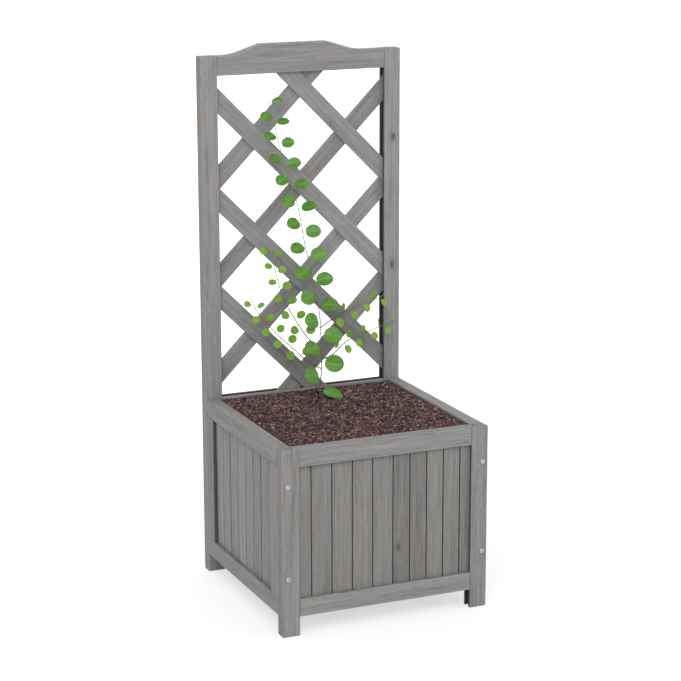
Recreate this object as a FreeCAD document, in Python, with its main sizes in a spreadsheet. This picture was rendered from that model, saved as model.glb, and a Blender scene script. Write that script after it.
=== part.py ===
import FreeCAD
import Part
import Sketcher
import math
import os

# Square wooden planter box with a trellis back, filled with bark soil and planted with one climber.
# Four grooved frame-and-board walls are screwed together at the corners; the rear wall's two legs
# run up as posts and carry a diagonal lattice of two crossed layers of slats.
# Millimetres. +Z up, front of the box towards -Y, origin under the middle of the box on the floor.

DOCUMENT_NAME = "planter"
PARTS_FOLDER = "parts"

DRIVING_SIZES = {
    # whole planter
    "overall_width": 400.0,
    "overall_depth": 400.0,
    "box_height": 342.0,
    "post_height": 982.0,
    # frame stock and its milled groove
    "stock_width": 33.0,
    "stock_thickness": 24.0,
    "edge_round": 1.5,
    "front_lip": 7.0,
    "groove_width": 11.0,
    "groove_depth": 10.0,
    "groove_end_gap": 1.0,
    "tenon_length": 8.5,
    "fit_gap": 0.3,
    "foot_clearance": 35.0,
    # wall boards
    "board_thickness": 10.4,
    "board_gap": 0.5,
    "board_chamfer": 1.2,
    "tongue_length": 4.0,
    "tongue_thickness": 3.4,
    "first_front_board": 25.0,
    "wide_front_board": 39.4,
    "narrow_front_board": 33.0,
    "first_side_board": 34.0,
    "side_board": 38.2,
    "least_board": 12.0,
    # trellis
    "slat_width": 33.0,
    "slat_thickness": 5.2,
    "slat_spacing": 184.0,
    "top_rail_height": 36.0,
    "crown_rise": 18.0,
    "crown_flat": 132.0,
    "crown_offset": 12.5,
    "crown_slope": 17.4,
    "crown_radius": 98.0,
    # base
    "cleat_size": 20.0,
    "cleat_height": 36.0,
    "base_board_thickness": 10.0,
    "base_board_gap": 4.0,
    # fasteners
    "screw_diameter": 4.0,
    "screw_length": 45.0,
    "screw_point_length": 6.0,
    "screw_point_diameter": 1.0,
    "screw_head_diameter": 8.0,
    "screw_head_height": 2.0,
    "screw_socket": 3.0,
    "screw_socket_depth": 1.5,
    "screw_edge": 10.5,
    "screw_above_bottom_rail": 39.0,
    "screw_below_top_rail": 33.0,
    "pilot_gap": 0.05,
    "drill_overrun": 1.0,
    "nail_diameter": 1.6,
    "nail_head_diameter": 3.6,
    "nail_head_height": 0.6,
    "lattice_nail_length": 9.0,
    "cleat_nail_length": 34.0,
    # filling
    "soil_drop": 3.5,
    "soil_gap": 0.3,
    "soil_mound": 3.0,
    "soil_swell": 44.0,
    # climber
    "stem_diameter": 2.4,
    "petiole_diameter": 1.0,
    "petiole_length": 5.0,
    "stalk_gap": 0.1,
    "leaf_thickness": 0.6,
}

BROAD_COUNT = 4
BASE_BOARDS = 5
# the loose soil's hollows and crests in turn, as shares of soil_mound above its edge
SOIL_TURNS = (0.2, 0.9, 0.0, 0.7, 0.3, 1.0, 0.1, 0.8)
CLEAT_NAILS = 3
SLAT_ANGLE = 45


class Size:
    """A length or angle that knows its value and the sheet expression it is bound with."""

    def __init__(self, value, text):
        self.value = float(value)
        self.text = text

    @staticmethod
    def of(other):
        return other if isinstance(other, Size) else Size(other, f"{float(other):g}")

    def joined(self, other, sign, value):
        return Size(value, f"({self.text} {sign} {other.text})")

    def __add__(self, other):
        other = Size.of(other)
        return self.joined(other, "+", self.value + other.value)

    def __radd__(self, other):
        return Size.of(other) + self

    def __sub__(self, other):
        other = Size.of(other)
        return self.joined(other, "-", self.value - other.value)

    def __rsub__(self, other):
        return Size.of(other) - self

    def __mul__(self, other):
        other = Size.of(other)
        return self.joined(other, "*", self.value * other.value)

    def __rmul__(self, other):
        return Size.of(other) * self

    def __truediv__(self, other):
        other = Size.of(other)
        return self.joined(other, "/", self.value / other.value)

    def __neg__(self):
        return Size.of(0) - self

    def sine(self):
        return Size(math.sin(math.radians(self.value)), f"sin({self.text} * 1 deg)")

    def cosine(self):
        return Size(math.cos(math.radians(self.value)), f"cos({self.text} * 1 deg)")

    def tangent(self):
        return Size(math.tan(math.radians(self.value)), f"tan({self.text} * 1 deg)")


ZERO = Size.of(0)

doc = FreeCAD.newDocument(DOCUMENT_NAME)
sheet = doc.addObject("Spreadsheet::Sheet", "sizes")
for row, (alias, value) in enumerate(DRIVING_SIZES.items(), start=1):
    sheet.set(f"A{row}", alias)
    sheet.set(f"B{row}", f"{value:g}")
    sheet.setAlias(f"B{row}", alias)
doc.recompute()


def size(alias):
    """The driving size of that name, bound to its sheet cell."""
    return Size(getattr(sheet, alias), f"sizes.{alias}")


width = size("overall_width")
depth = size("overall_depth")
box_height = size("box_height")
post_height = size("post_height")
stock_width = size("stock_width")
stock_thickness = size("stock_thickness")
front_lip = size("front_lip")
groove_width = size("groove_width")
groove_depth = size("groove_depth")
fit_gap = size("fit_gap")
tenon_length = size("tenon_length")
board_gap = size("board_gap")

groove_back = front_lip + groove_width
engagement = groove_depth - size("groove_end_gap")
bottom_rail_base = size("foot_clearance")
bottom_rail_top = bottom_rail_base + stock_width
top_rail_base = box_height - stock_width
wall_clear_width = width - 2 * stock_width
side_length = depth - 2 * stock_thickness
side_clear_length = side_length - 2 * stock_width
low_screw_height = bottom_rail_top + size("screw_above_bottom_rail")
high_screw_height = top_rail_base - size("screw_below_top_rail")
half_width = width / 2
half_depth = depth / 2
rear_wall_face = half_depth - stock_thickness


# ---------------------------------------------------------------- walls and placing

class Wall:
    """One side of the box: x runs along it, y from its outer face inwards, z up."""

    def __init__(self, angle, face):
        self.angle = angle
        self.face = face

    def place(self, piece, along, inward, height):
        """Puts a piece's own origin at that point of the wall, turned with the wall."""
        if self.angle == -90:
            point = (inward + self.face, -along, height)
        elif self.angle == 90:
            point = (self.face - inward, along, height)
        else:
            point = (along, inward + self.face, height)
        turn = FreeCAD.Rotation(FreeCAD.Vector(0, 0, 1), self.angle)
        put(piece, point, turn)


def put(piece, point, turn=FreeCAD.Rotation()):
    """Sets a Placement and binds its three distances."""
    point = [Size.of(value) for value in point]
    piece.Placement = FreeCAD.Placement(FreeCAD.Vector(*[p.value for p in point]), turn)
    for axis, value in zip("xyz", point):
        piece.setExpression(f".Placement.Base.{axis}", value.text)


FRONT = Wall(0, -half_depth)
REAR = Wall(0, rear_wall_face)
LEFT = Wall(-90, -half_width)
RIGHT = Wall(90, half_width)


# ---------------------------------------------------------------- sketch and feature helpers

def new_body(name):
    body = doc.addObject("PartDesign::Body", name)
    body.Label = name
    return body


def new_sketch(body, plane_role, name):
    sketch = body.newObject("Sketcher::SketchObject", name)
    plane = next(o for o in body.Origin.OriginFeatures if o.Role == plane_role)
    sketch.AttachmentSupport = [(plane, "")]
    sketch.MapMode = "FlatFace"
    return sketch


def fix_point(sketch, edge, end, point):
    """Ties one end of an edge to its two distances from the sketch's origin."""
    for axis_line, kind, value in ((-2, "DistanceX", point[0]), (-1, "DistanceY", point[1])):
        if abs(value.value) < 1e-9:
            sketch.addConstraint(Sketcher.Constraint("PointOnObject", edge, end, axis_line))
        else:
            number = sketch.addConstraint(
                Sketcher.Constraint(kind, -1, 1, edge, end, value.value)
            )
            sketch.setExpression(f"Constraints[{number}]", value.text)


def outline(body, plane_role, points, name, arcs=None):
    """A closed outline through the points; arcs maps a side's number to (radius, bulge side)."""
    arcs = arcs or {}
    points = [tuple(Size.of(value) for value in point) for point in points]
    corners = [FreeCAD.Vector(u.value, v.value, 0) for u, v in points]
    sketch = new_sketch(body, plane_role, name)
    count = len(points)
    for i in range(count):
        start, end = corners[i], corners[(i + 1) % count]
        if i in arcs:
            radius, bulge = arcs[i]
            chord = end - start
            offset = math.sqrt(radius.value ** 2 - (chord.Length / 2) ** 2)
            side = FreeCAD.Vector(-chord.y, chord.x, 0).normalize() * bulge
            centre = (start + end) / 2 + side * offset
            middle = centre - side * radius.value
            sketch.addGeometry(Part.Arc(start, middle, end), False)
        else:
            sketch.addGeometry(Part.LineSegment(start, end), False)
    # a hollow arc is stored the other way round, so its first and second ends change places
    first_end = [2 if i in arcs and arcs[i][1] < 0 else 1 for i in range(count)]
    for i in range(count):
        following = (i + 1) % count
        ends = (3 - first_end[i], first_end[following])
        sketch.addConstraint(Sketcher.Constraint("Coincident", i, ends[0], following, ends[1]))
    for i in range(count):
        fix_point(sketch, i, first_end[i], points[i])
        if i in arcs:
            number = sketch.addConstraint(Sketcher.Constraint("Radius", i, arcs[i][0].value))
            sketch.setExpression(f"Constraints[{number}]", arcs[i][0].text)
    return sketch


def rectangle(low, high):
    return [low, (high[0], low[1]), high, (low[0], high[1])]


def pad(body, sketch, length, name, reverse=False, behind=None):
    """Raises the outline by a length; behind also raises it that far to the other side."""
    feature = body.newObject("PartDesign::Pad", name)
    feature.Profile = sketch
    if behind is not None:
        feature.SideType = "Two sides"
        feature.Length2 = behind.value
        feature.setExpression("Length2", behind.text)
    feature.Length = length.value
    feature.setExpression("Length", length.text)
    feature.Reversed = reverse
    sketch.Visibility = False
    return feature


def round_long_edges(body, feature, axis, name):
    """Rounds the straight edges that run along one axis at the corners of the piece."""
    doc.recompute()
    box = feature.Shape.BoundBox
    limits = {"x": (box.XMin, box.XMax), "y": (box.YMin, box.YMax), "z": (box.ZMin, box.ZMax)}
    cross = [a for a in "xyz" if a != axis]
    chosen = []
    for number, edge in enumerate(feature.Shape.Edges, start=1):
        start, end = edge.firstVertex().Point, edge.lastVertex().Point
        along = abs(getattr(end, axis) - getattr(start, axis))
        on_corner = all(
            min(abs(getattr(p, a) - limit) for limit in limits[a]) < 1e-6
            for a in cross
            for p in (start, end)
        )
        if on_corner and along > 1e-6:
            chosen.append(f"Edge{number}")
    fillet = body.newObject("PartDesign::Fillet", name)
    fillet.Base = (feature, chosen)
    fillet.Radius = size("edge_round").value
    fillet.setExpression("Radius", size("edge_round").text)
    return fillet


def drill(body, plane_role, places, diameter, name, start=None, hole_depth=None):
    """Round holes square to one of the piece's origin planes: right through, or a blind depth
    back from a face that lies a start distance behind that plane."""
    doc.recompute()
    before = body.Shape.Volume
    sketch = new_sketch(body, plane_role, f"{name}_sketch")
    if start is not None:
        sketch.AttachmentOffset = FreeCAD.Placement(FreeCAD.Vector(0, 0, -start.value),
                                                    FreeCAD.Rotation())
        sketch.setExpression(".AttachmentOffset.Base.z", (-start).text)
    for i, (u, v) in enumerate(places):
        centre = FreeCAD.Vector(u.value, v.value, 0)
        sketch.addGeometry(Part.Circle(centre, FreeCAD.Vector(0, 0, 1), diameter.value / 2), False)
        fix_point(sketch, i, 3, (u, v))
        number = sketch.addConstraint(Sketcher.Constraint("Diameter", i, diameter.value))
        sketch.setExpression(f"Constraints[{number}]", diameter.text)
    pocket = body.newObject("PartDesign::Pocket", name)
    pocket.Profile = sketch
    if hole_depth is None:
        pocket.SideType = "Symmetric"
        pocket.Type = "ThroughAll"
    else:
        pocket.Length = hole_depth.value
        pocket.setExpression("Length", hole_depth.text)
        pocket.Reversed = True
    sketch.Visibility = False
    doc.recompute()
    if body.Shape.Volume >= before - 1:
        raise RuntimeError(f"{body.Label}: the holes cut nothing")
    return pocket


# ---------------------------------------------------------------- frame members

tenon_front = front_lip + fit_gap
tenon_back = groove_back - fit_gap


def upright(name, wall, along, base, length, groove_side, tenons=False, screw_heights=()):
    """A leg, post or stile: vertical, with the wall groove down its inner edge."""
    body = new_body(name)
    w, t = stock_width, stock_thickness
    if groove_side == "right":
        floor = w - groove_depth
        section = [(0, 0), (w, 0), (w, front_lip), (floor, front_lip), (floor, groove_back),
                   (w, groove_back), (w, t), (0, t)]
        tenon_sides = (0, floor)
        hole_from_edge = size("screw_edge")
    else:
        floor = groove_depth
        section = [(0, 0), (w, 0), (w, t), (0, t), (0, groove_back), (floor, groove_back),
                   (floor, front_lip), (0, front_lip)]
        tenon_sides = (floor, w)
        hole_from_edge = w - size("screw_edge")
    core = pad(body, outline(body, "XY_Plane", section, f"{name}_section"), length, f"{name}_length")
    round_long_edges(body, core, "z", f"{name}_arris")
    if tenons:
        tenon = rectangle((tenon_sides[0], tenon_front), (tenon_sides[1], tenon_back))
        sketch = outline(body, "XY_Plane", tenon, f"{name}_tenon_section")
        pad(body, sketch, length + tenon_length, f"{name}_tenons", behind=tenon_length)
        if screw_heights:
            places = [(screw_depth_in_stile, h - base) for h in screw_heights]
            drill(body, "YZ_Plane", places, pilot_diameter, f"{name}_pilots")
    elif screw_heights:
        places = [(hole_from_edge, h - base) for h in screw_heights]
        drill(body, "XZ_Plane", places, pilot_diameter, f"{name}_screw_holes")
    wall.place(body, along, ZERO, base)
    return body


def rail(name, wall, along, base, length, grooves, height=None, tenons=False):
    """A horizontal frame member with the groove in its lower edge, its upper edge or both."""
    body = new_body(name)
    rail_height = height or stock_width
    t = stock_thickness
    section = [(0, 0)]
    if "bottom" in grooves:
        section += [(front_lip, 0), (front_lip, groove_depth), (groove_back, groove_depth),
                    (groove_back, 0)]
    section += [(t, 0), (t, rail_height)]
    if "top" in grooves:
        roof = rail_height - groove_depth
        section += [(groove_back, rail_height), (groove_back, roof), (front_lip, roof),
                    (front_lip, rail_height)]
    section += [(0, rail_height)]
    core = pad(body, outline(body, "YZ_Plane", section, f"{name}_section"), length, f"{name}_length")
    round_long_edges(body, core, "x", f"{name}_arris")
    if tenons:
        low = groove_depth if "bottom" in grooves else 0
        high = rail_height - (groove_depth if "top" in grooves else 0)
        tenon = rectangle((tenon_front, low), (tenon_back, high))
        sketch = outline(body, "YZ_Plane", tenon, f"{name}_tenon_section")
        pad(body, sketch, length + tenon_length, f"{name}_tenons", behind=tenon_length)
    wall.place(body, along, ZERO, base)
    return body


# ---------------------------------------------------------------- boards

board_thickness = size("board_thickness")
tongue_length = size("tongue_length")
tongue_thickness = size("tongue_thickness")
chamfer = size("board_chamfer")
board_low = bottom_rail_top - engagement
board_high = top_rail_base + engagement
board_inset = front_lip + fit_gap
tongue_low = (board_thickness - tongue_thickness) / 2
tongue_high = (board_thickness + tongue_thickness) / 2
slot_depth = tongue_length + fit_gap


def board(name, wall, start, end, slot=True, tongue=True):
    """A vertical board of a wall: slot in its left edge, tongue on its right edge."""
    body = new_body(name)
    w, t = end - start, board_thickness
    section = [(chamfer, 0), (w - chamfer, 0), (w, chamfer)]
    if tongue:
        section += [(w, tongue_low), (w + tongue_length, tongue_low),
                    (w + tongue_length, tongue_high), (w, tongue_high)]
    section += [(w, t), (0, t)]
    if slot:
        section += [(0, tongue_high + fit_gap), (slot_depth, tongue_high + fit_gap),
                    (slot_depth, tongue_low - fit_gap), (0, tongue_low - fit_gap)]
    section += [(0, chamfer)]
    sketch = outline(body, "XY_Plane", section, f"{name}_section")
    pad(body, sketch, board_high - board_low, f"{name}_length")
    wall.place(body, start, board_inset, board_low)
    return body


def board_row(names, wall, clear, joints):
    """Boards between two grooved edges, with a joint at each distance from the clear width's left."""
    left = -clear / 2
    starts = [left - engagement] + [left + joint + board_gap / 2 for joint in joints]
    ends = [left + joint - board_gap / 2 for joint in joints] + [clear / 2 + engagement]
    last = len(names) - 1
    return [
        board(name, wall, starts[i], ends[i], slot=i > 0, tongue=i < last)
        for i, name in enumerate(names)
    ]


def running_joints(first, steps, clear):
    """Distances of the joints from the left: the first, then step after step, the last step
    again and again, for as long as they leave the least width of a board."""
    joints = [first]
    while True:
        step = steps[min(len(joints), len(steps)) - 1]
        following = joints[-1] + step
        if following.value > (clear - size("least_board")).value:
            return joints
        joints.append(following)


# ---------------------------------------------------------------- fasteners

pilot_diameter = size("screw_diameter") + 2 * size("pilot_gap")
drill_overrun = size("drill_overrun")
nail_hole = size("nail_diameter") + 2 * size("pilot_gap")
cleat_size = size("cleat_size")
cleat_base = size("cleat_height")
cleat_nail_height = cleat_base + cleat_size / 2
nail_spacing = side_length / CLEAT_NAILS
screw_depth_in_stile = size("screw_edge")


def cylinder(name, diameter, height, point, turn=FreeCAD.Rotation()):
    item = doc.addObject("Part::Cylinder", name)
    item.setExpression("Radius", (diameter / 2).text)
    item.setExpression("Height", Size.of(height).text)
    put(item, point, turn)
    return item


def hex_socket(name, across_flats, height, point, turn):
    item = doc.addObject("Part::Prism", name)
    item.Polygon = 6
    corner = Size(2 / math.sqrt(3), "(2 / sqrt(3))")
    item.setExpression("Circumradius", (across_flats / 2 * corner).text)
    item.setExpression("Height", height.text)
    put(item, point, turn)
    return item


def wood_screw(name, x, face, z, inwards):
    """A flat-headed hex socket screw standing on a vertical face, driven along Y."""
    turn = FreeCAD.Rotation(FreeCAD.Vector(1, 0, 0), -90 * inwards)
    head_height = size("screw_head_height")
    point_length = size("screw_point_length")
    shank_length = size("screw_length") - point_length
    head = cylinder(f"{name}_head", size("screw_head_diameter"), head_height,
                    (x, face - inwards * head_height, z), turn)
    shank = cylinder(f"{name}_shank", size("screw_diameter"), shank_length, (x, face, z), turn)
    point = doc.addObject("Part::Cone", f"{name}_point")
    point.setExpression("Radius1", (size("screw_diameter") / 2).text)
    point.setExpression("Radius2", (size("screw_point_diameter") / 2).text)
    point.setExpression("Height", point_length.text)
    put(point, (x, face + inwards * shank_length, z), turn)
    whole = doc.addObject("Part::MultiFuse", f"{name}_blank")
    whole.Shapes = [head, shank, point]
    socket = hex_socket(f"{name}_socket", size("screw_socket"), size("screw_socket_depth"),
                        (x, face - inwards * head_height, z), turn)
    screw = doc.addObject("Part::Cut", name)
    screw.Base, screw.Tool = whole, socket
    return screw


def round_nail(name, point, length, turn):
    """A flat-headed nail; its head rests on the face at the point, its shank runs along turn's Z."""
    direction = turn.multVec(FreeCAD.Vector(0, 0, 1))
    head_height = size("nail_head_height")
    back = [p - round(c) * head_height for p, c in zip(point, (direction.x, direction.y, direction.z))]
    head = cylinder(f"{name}_head", size("nail_head_diameter"), head_height, back, turn)
    shank = cylinder(f"{name}_shank", size("nail_diameter"), length, point, turn)
    nail = doc.addObject("Part::Fuse", name)
    nail.Base, nail.Tool = head, shank
    return nail


def group(name, members):
    item = doc.addObject("Part::Compound", name)
    item.Label = name
    item.Links = members
    return item


# ---------------------------------------------------------------- the box

nodes = []
screw_heights = (low_screw_height, high_screw_height)
clear_start = -wall_clear_width / 2
far_leg = wall_clear_width / 2

nodes.append(upright("leg_front_left", FRONT, -half_width, ZERO, box_height, "right",
                     screw_heights=screw_heights))
nodes.append(upright("leg_front_right", FRONT, far_leg, ZERO, box_height, "left",
                     screw_heights=screw_heights))
nodes.append(rail("front_top_rail", FRONT, clear_start, top_rail_base, wall_clear_width,
                  ("bottom",), tenons=True))
nodes.append(rail("front_bottom_rail", FRONT, clear_start, bottom_rail_base, wall_clear_width,
                  ("top",), tenons=True))

front_steps = [size("wide_front_board")] * BROAD_COUNT + [size("narrow_front_board")]
front_joints = running_joints(size("first_front_board"), front_steps, wall_clear_width)
front_names = [f"front_board_{i + 1:02d}" for i in range(len(front_joints) + 1)]
nodes += board_row(front_names, FRONT, wall_clear_width, front_joints)

side_joints = running_joints(size("first_side_board"), [size("side_board")], side_clear_length)
for side, wall in (("left", LEFT), ("right", RIGHT)):
    wall_start = -side_length / 2
    stile_far = side_clear_length / 2
    first_end, second_end = ("rear", "front") if side == "left" else ("front", "rear")
    nodes.append(rail(f"{side}_top_rail", wall, wall_start, top_rail_base, side_length, ("bottom",)))
    bottom_rail = rail(f"{side}_bottom_rail", wall, wall_start, bottom_rail_base, side_length,
                       ("top",))
    cleat_pilots = [(nail_spacing * (i + 0.5), cleat_nail_height - bottom_rail_base)
                    for i in range(CLEAT_NAILS)]
    drill(bottom_rail, "XZ_Plane", cleat_pilots, nail_hole, f"{side}_bottom_rail_pilots",
          start=stock_thickness, hole_depth=size("cleat_nail_length") - cleat_size + fit_gap)
    nodes.append(bottom_rail)
    stile_length = top_rail_base - bottom_rail_top
    for end, along, groove_side in ((first_end, wall_start, "right"),
                                    (second_end, stile_far, "left")):
        nodes.append(upright(f"{side}_{end}_stile", wall, along, bottom_rail_top, stile_length,
                             groove_side, tenons=True, screw_heights=screw_heights))
    side_names = [f"{side}_board_{i + 1}" for i in range(len(side_joints) + 1)]
    nodes += board_row(side_names, wall, side_clear_length, side_joints)


# ---------------------------------------------------------------- rear wall and trellis frame

nodes.append(upright("rear_post_left", REAR, -half_width, ZERO, post_height, "right",
                     screw_heights=screw_heights))
nodes.append(upright("rear_post_right", REAR, far_leg, ZERO, post_height, "left",
                     screw_heights=screw_heights))
nodes.append(rail("rear_bottom_rail", REAR, clear_start, bottom_rail_base, wall_clear_width,
                  ("top",), tenons=True))
nodes.append(rail("trellis_mid_rail", REAR, clear_start, top_rail_base, wall_clear_width,
                  ("bottom", "top"), tenons=True))

rear_names = [f"rear_board_{i + 1:02d}" for i in range(len(front_joints) + 1)]
nodes.append(group("rear_boards", board_row(rear_names, REAR, wall_clear_width, front_joints)))


def crowned_top_rail():
    """The trellis's top rail: a raised flat crown with a sloped and hollowed shoulder each side."""
    name = "trellis_top_rail"
    body = new_body(name)
    length, height = wall_clear_width, size("top_rail_height")
    slope, radius = size("crown_slope"), size("crown_radius")
    rise = size("crown_rise")
    half_flat = size("crown_flat") / 2
    foot = half_flat + rise / slope.tangent()
    reach = radius * (slope / 2).tangent()
    middle = length / 2 - size("crown_offset")
    blend_end = foot + reach
    blend_start = foot - reach * slope.cosine()
    blend_rise = reach * slope.sine()
    points = [(0, 0), (length, 0), (length, height), (middle + blend_end, height),
              (middle + blend_start, height + blend_rise), (middle + half_flat, height + rise),
              (middle - half_flat, height + rise), (middle - blend_start, height + blend_rise),
              (middle - blend_end, height), (0, height)]
    sketch = outline(body, "XZ_Plane", points, f"{name}_outline", arcs={3: (radius, -1), 7: (radius, -1)})
    pad(body, sketch, stock_thickness, f"{name}_thickness", reverse=True)
    doc.recompute()
    before = body.Shape.Volume
    groove = outline(body, "YZ_Plane", rectangle((front_lip, 0), (groove_back, groove_depth)),
                     f"{name}_groove_section")
    pocket = body.newObject("PartDesign::Pocket", f"{name}_groove")
    pocket.Profile = groove
    pocket.SideType = "Symmetric"
    pocket.Type = "ThroughAll"
    doc.recompute()
    if body.Shape.Volume >= before - 1:
        raise RuntimeError("the top rail's groove cuts nothing")
    tenon = rectangle((tenon_front, groove_depth), (tenon_back, height))
    tenon_sketch = outline(body, "YZ_Plane", tenon, f"{name}_tenon_section")
    pad(body, tenon_sketch, length + tenon_length, f"{name}_tenons", behind=tenon_length)
    REAR.place(body, clear_start, ZERO, post_height - height)
    return body


nodes.append(crowned_top_rail())


# ---------------------------------------------------------------- lattice

slat_width = size("slat_width")
slat_thickness = size("slat_thickness")
slat_spacing = size("slat_spacing")
lattice_low = box_height
lattice_high = post_height - size("top_rail_height")
lattice_middle = (lattice_low + lattice_high) / 2
front_layer = rear_wall_face + front_lip + fit_gap
rear_layer = front_layer + slat_thickness
slat_count = math.ceil(((lattice_high - lattice_low) / slat_spacing).value)
crossing_heights = [
    lattice_middle + slat_spacing * ((slat_count - 1) / 2 - i) for i in range(slat_count)
]


def plain_box(name, length, width_y, height, point, turn=FreeCAD.Rotation()):
    item = doc.addObject("Part::Box", name)
    for prop, value in (("Length", length), ("Width", width_y), ("Height", height)):
        item.setExpression(prop, Size.of(value).text)
    put(item, point, turn)
    return item


def lattice_nail_points():
    """Where a falling and a rising slat cross, half a slat or more inside the trellis frame."""
    half_slat = slat_width.value / 2
    points = []
    for falling in crossing_heights:
        for rising in crossing_heights:
            x, z = (falling - rising) / 2, (falling + rising) / 2
            inside_posts = abs(x.value) < wall_clear_width.value / 2 - half_slat
            inside_rails = lattice_low.value + half_slat < z.value < lattice_high.value - half_slat
            if inside_posts and inside_rails:
                points.append((x, z))
    return points


def lattice_slat(name, layer, crossing, turn_angle, holes):
    """One diagonal slat, cut off where it ends inside the frame's groove."""
    length = wall_clear_width * 2
    diagonal = Size.of(SLAT_ANGLE).cosine()
    half_run = length / 2 * diagonal
    half_side = slat_width / 2 * diagonal
    turn = FreeCAD.Rotation(FreeCAD.Vector(0, 1, 0), turn_angle)
    if turn_angle > 0:
        corner = (-half_run - half_side, layer, crossing + half_run - half_side)
    else:
        corner = (-half_run + half_side, layer, crossing - half_run - half_side)
    strip = plain_box(f"{name}_strip", length, slat_thickness, slat_width, corner, turn)
    window = plain_box(f"{name}_window", wall_clear_width + 2 * engagement, slat_thickness,
                       lattice_high - lattice_low + 2 * engagement,
                       (clear_start - engagement, layer, lattice_low - engagement))
    trimmed = doc.addObject("Part::Common", f"{name}_trimmed")
    trimmed.Base, trimmed.Tool = strip, window
    slat = doc.addObject("Part::Cut", name)
    slat.Label = name
    slat.Base, slat.Tool = trimmed, holes
    return slat


BACK_TO_FRONT = FreeCAD.Rotation(FreeCAD.Vector(1, 0, 0), 90)
nail_points = lattice_nail_points()
nail_face = rear_layer + slat_thickness
drillings = [
    cylinder(f"lattice_drilling_{i + 1}", nail_hole, 2 * (slat_thickness + drill_overrun),
             (x, nail_face + drill_overrun, z), BACK_TO_FRONT)
    for i, (x, z) in enumerate(nail_points)
]
lattice_holes = doc.addObject("Part::Compound", "lattice_holes")
lattice_holes.Links = drillings
for i, crossing in enumerate(crossing_heights):
    name = f"falling_slat_{i + 1}"
    nodes.append(lattice_slat(name, front_layer, crossing, SLAT_ANGLE, lattice_holes))
for i, crossing in enumerate(crossing_heights):
    name = f"rising_slat_{i + 1}"
    nodes.append(lattice_slat(name, rear_layer, crossing, -SLAT_ANGLE, lattice_holes))
nodes.append(group("lattice_nails", [
    round_nail(f"lattice_nail_{i + 1}", (x, nail_face, z), size("lattice_nail_length"), BACK_TO_FRONT)
    for i, (x, z) in enumerate(nail_points)
]))


# ---------------------------------------------------------------- base

base_top = cleat_base + cleat_size + size("base_board_thickness")
inner_half_width = half_width - stock_thickness
inner_half_depth = half_depth - stock_thickness
base_gap = size("base_board_gap")
base_clear = 2 * inner_half_depth - base_gap
base_board_width = (base_clear - base_gap * (BASE_BOARDS - 1)) / BASE_BOARDS


def nail_along(i):
    """Where a cleat's nail stands along the wall."""
    return nail_spacing * (i + 0.5) - side_length / 2


def cleat(name, side):
    """A batten along the inside of a side wall's bottom rail, drilled for its nails."""
    low_x = -inner_half_width if side < 0 else inner_half_width - cleat_size
    batten = plain_box(f"{name}_batten", cleat_size, side_length, cleat_size,
                       (low_x, -side_length / 2, cleat_base))
    turn = FreeCAD.Rotation(FreeCAD.Vector(0, 1, 0), 90)
    holes = [
        cylinder(f"{name}_drilling_{i + 1}", nail_hole, cleat_size + 2 * drill_overrun,
                 (low_x - drill_overrun, nail_along(i), cleat_nail_height), turn)
        for i in range(CLEAT_NAILS)
    ]
    drilled = doc.addObject("Part::Compound", f"{name}_holes")
    drilled.Links = holes
    item = doc.addObject("Part::Cut", name)
    item.Base, item.Tool = batten, drilled
    return item


def cleat_nails(name, side):
    turn = FreeCAD.Rotation(FreeCAD.Vector(0, 1, 0), 90 * side)
    face = (inner_half_width - cleat_size) * side
    return [
        round_nail(f"{name}_{i + 1}", (face, nail_along(i), cleat_nail_height),
                   size("cleat_nail_length"), turn)
        for i in range(CLEAT_NAILS)
    ]


nodes.append(group("base_cleats", [cleat("left_cleat", -1), cleat("right_cleat", 1)]))
nodes.append(group("cleat_nails", cleat_nails("left_nail", -1) + cleat_nails("right_nail", 1)))
nodes.append(group("base_boards", [
    plain_box(f"base_board_{i + 1}", 2 * inner_half_width - base_gap, base_board_width,
              size("base_board_thickness"),
              (base_gap / 2 - inner_half_width,
               (base_board_width + base_gap) * i - base_clear / 2, cleat_base + cleat_size))
    for i in range(BASE_BOARDS)
]))


# ---------------------------------------------------------------- corner screws

screw_x = half_width - size("screw_edge")
corner_screws = []
for face, inwards, place in ((-half_depth, 1, "front"), (half_depth, -1, "rear")):
    for side, x in (("left", -screw_x), ("right", screw_x)):
        for level, z in (("low", low_screw_height), ("high", high_screw_height)):
            corner_screws.append(wood_screw(f"screw_{place}_{side}_{level}", x, face, z, inwards))
nodes.append(group("corner_screws", corner_screws))


# ---------------------------------------------------------------- soil

soil_edge = box_height - size("soil_drop")
soil_top = soil_edge + size("soil_mound")
soil_half_x = inner_half_width - size("soil_gap")
soil_half_y = inner_half_depth - size("soil_gap")


def soil_line(width):
    """The surface's hollows and crests across a width: place from its start, height on the base."""
    count = 2 * max(1, round(width.value / size("soil_swell").value))
    return [
        (width * i / count,
         soil_edge - base_top + size("soil_mound") * SOIL_TURNS[i % len(SOIL_TURNS)])
        for i in range(count + 1)
    ]


soil_line_x = soil_line(2 * soil_half_x)
soil_line_y = soil_line(2 * soil_half_y)


def soil_fill():
    """The filling: a block on the base boards whose loose top swells a little both ways."""
    name = "soil_fill"
    body = new_body(name)
    width, depth = 2 * soil_half_x, 2 * soil_half_y
    profile = [(0, 0), (width, 0)] + soil_line_x[::-1]
    pad(body, outline(body, "XZ_Plane", profile, f"{name}_profile"), depth, f"{name}_depth",
        reverse=True)
    above = soil_top - base_top + size("drill_overrun")
    profile = soil_line_y + [(depth, above), (0, above)]
    hollows = body.newObject("PartDesign::Pocket", f"{name}_hollows")
    hollows.Profile = outline(body, "YZ_Plane", profile, f"{name}_hollows_profile")
    hollows.Type = "ThroughAll"
    hollows.Reversed = True
    hollows.Profile[0].Visibility = False
    put(body, (-soil_half_x, -soil_half_y, base_top))
    return body


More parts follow.
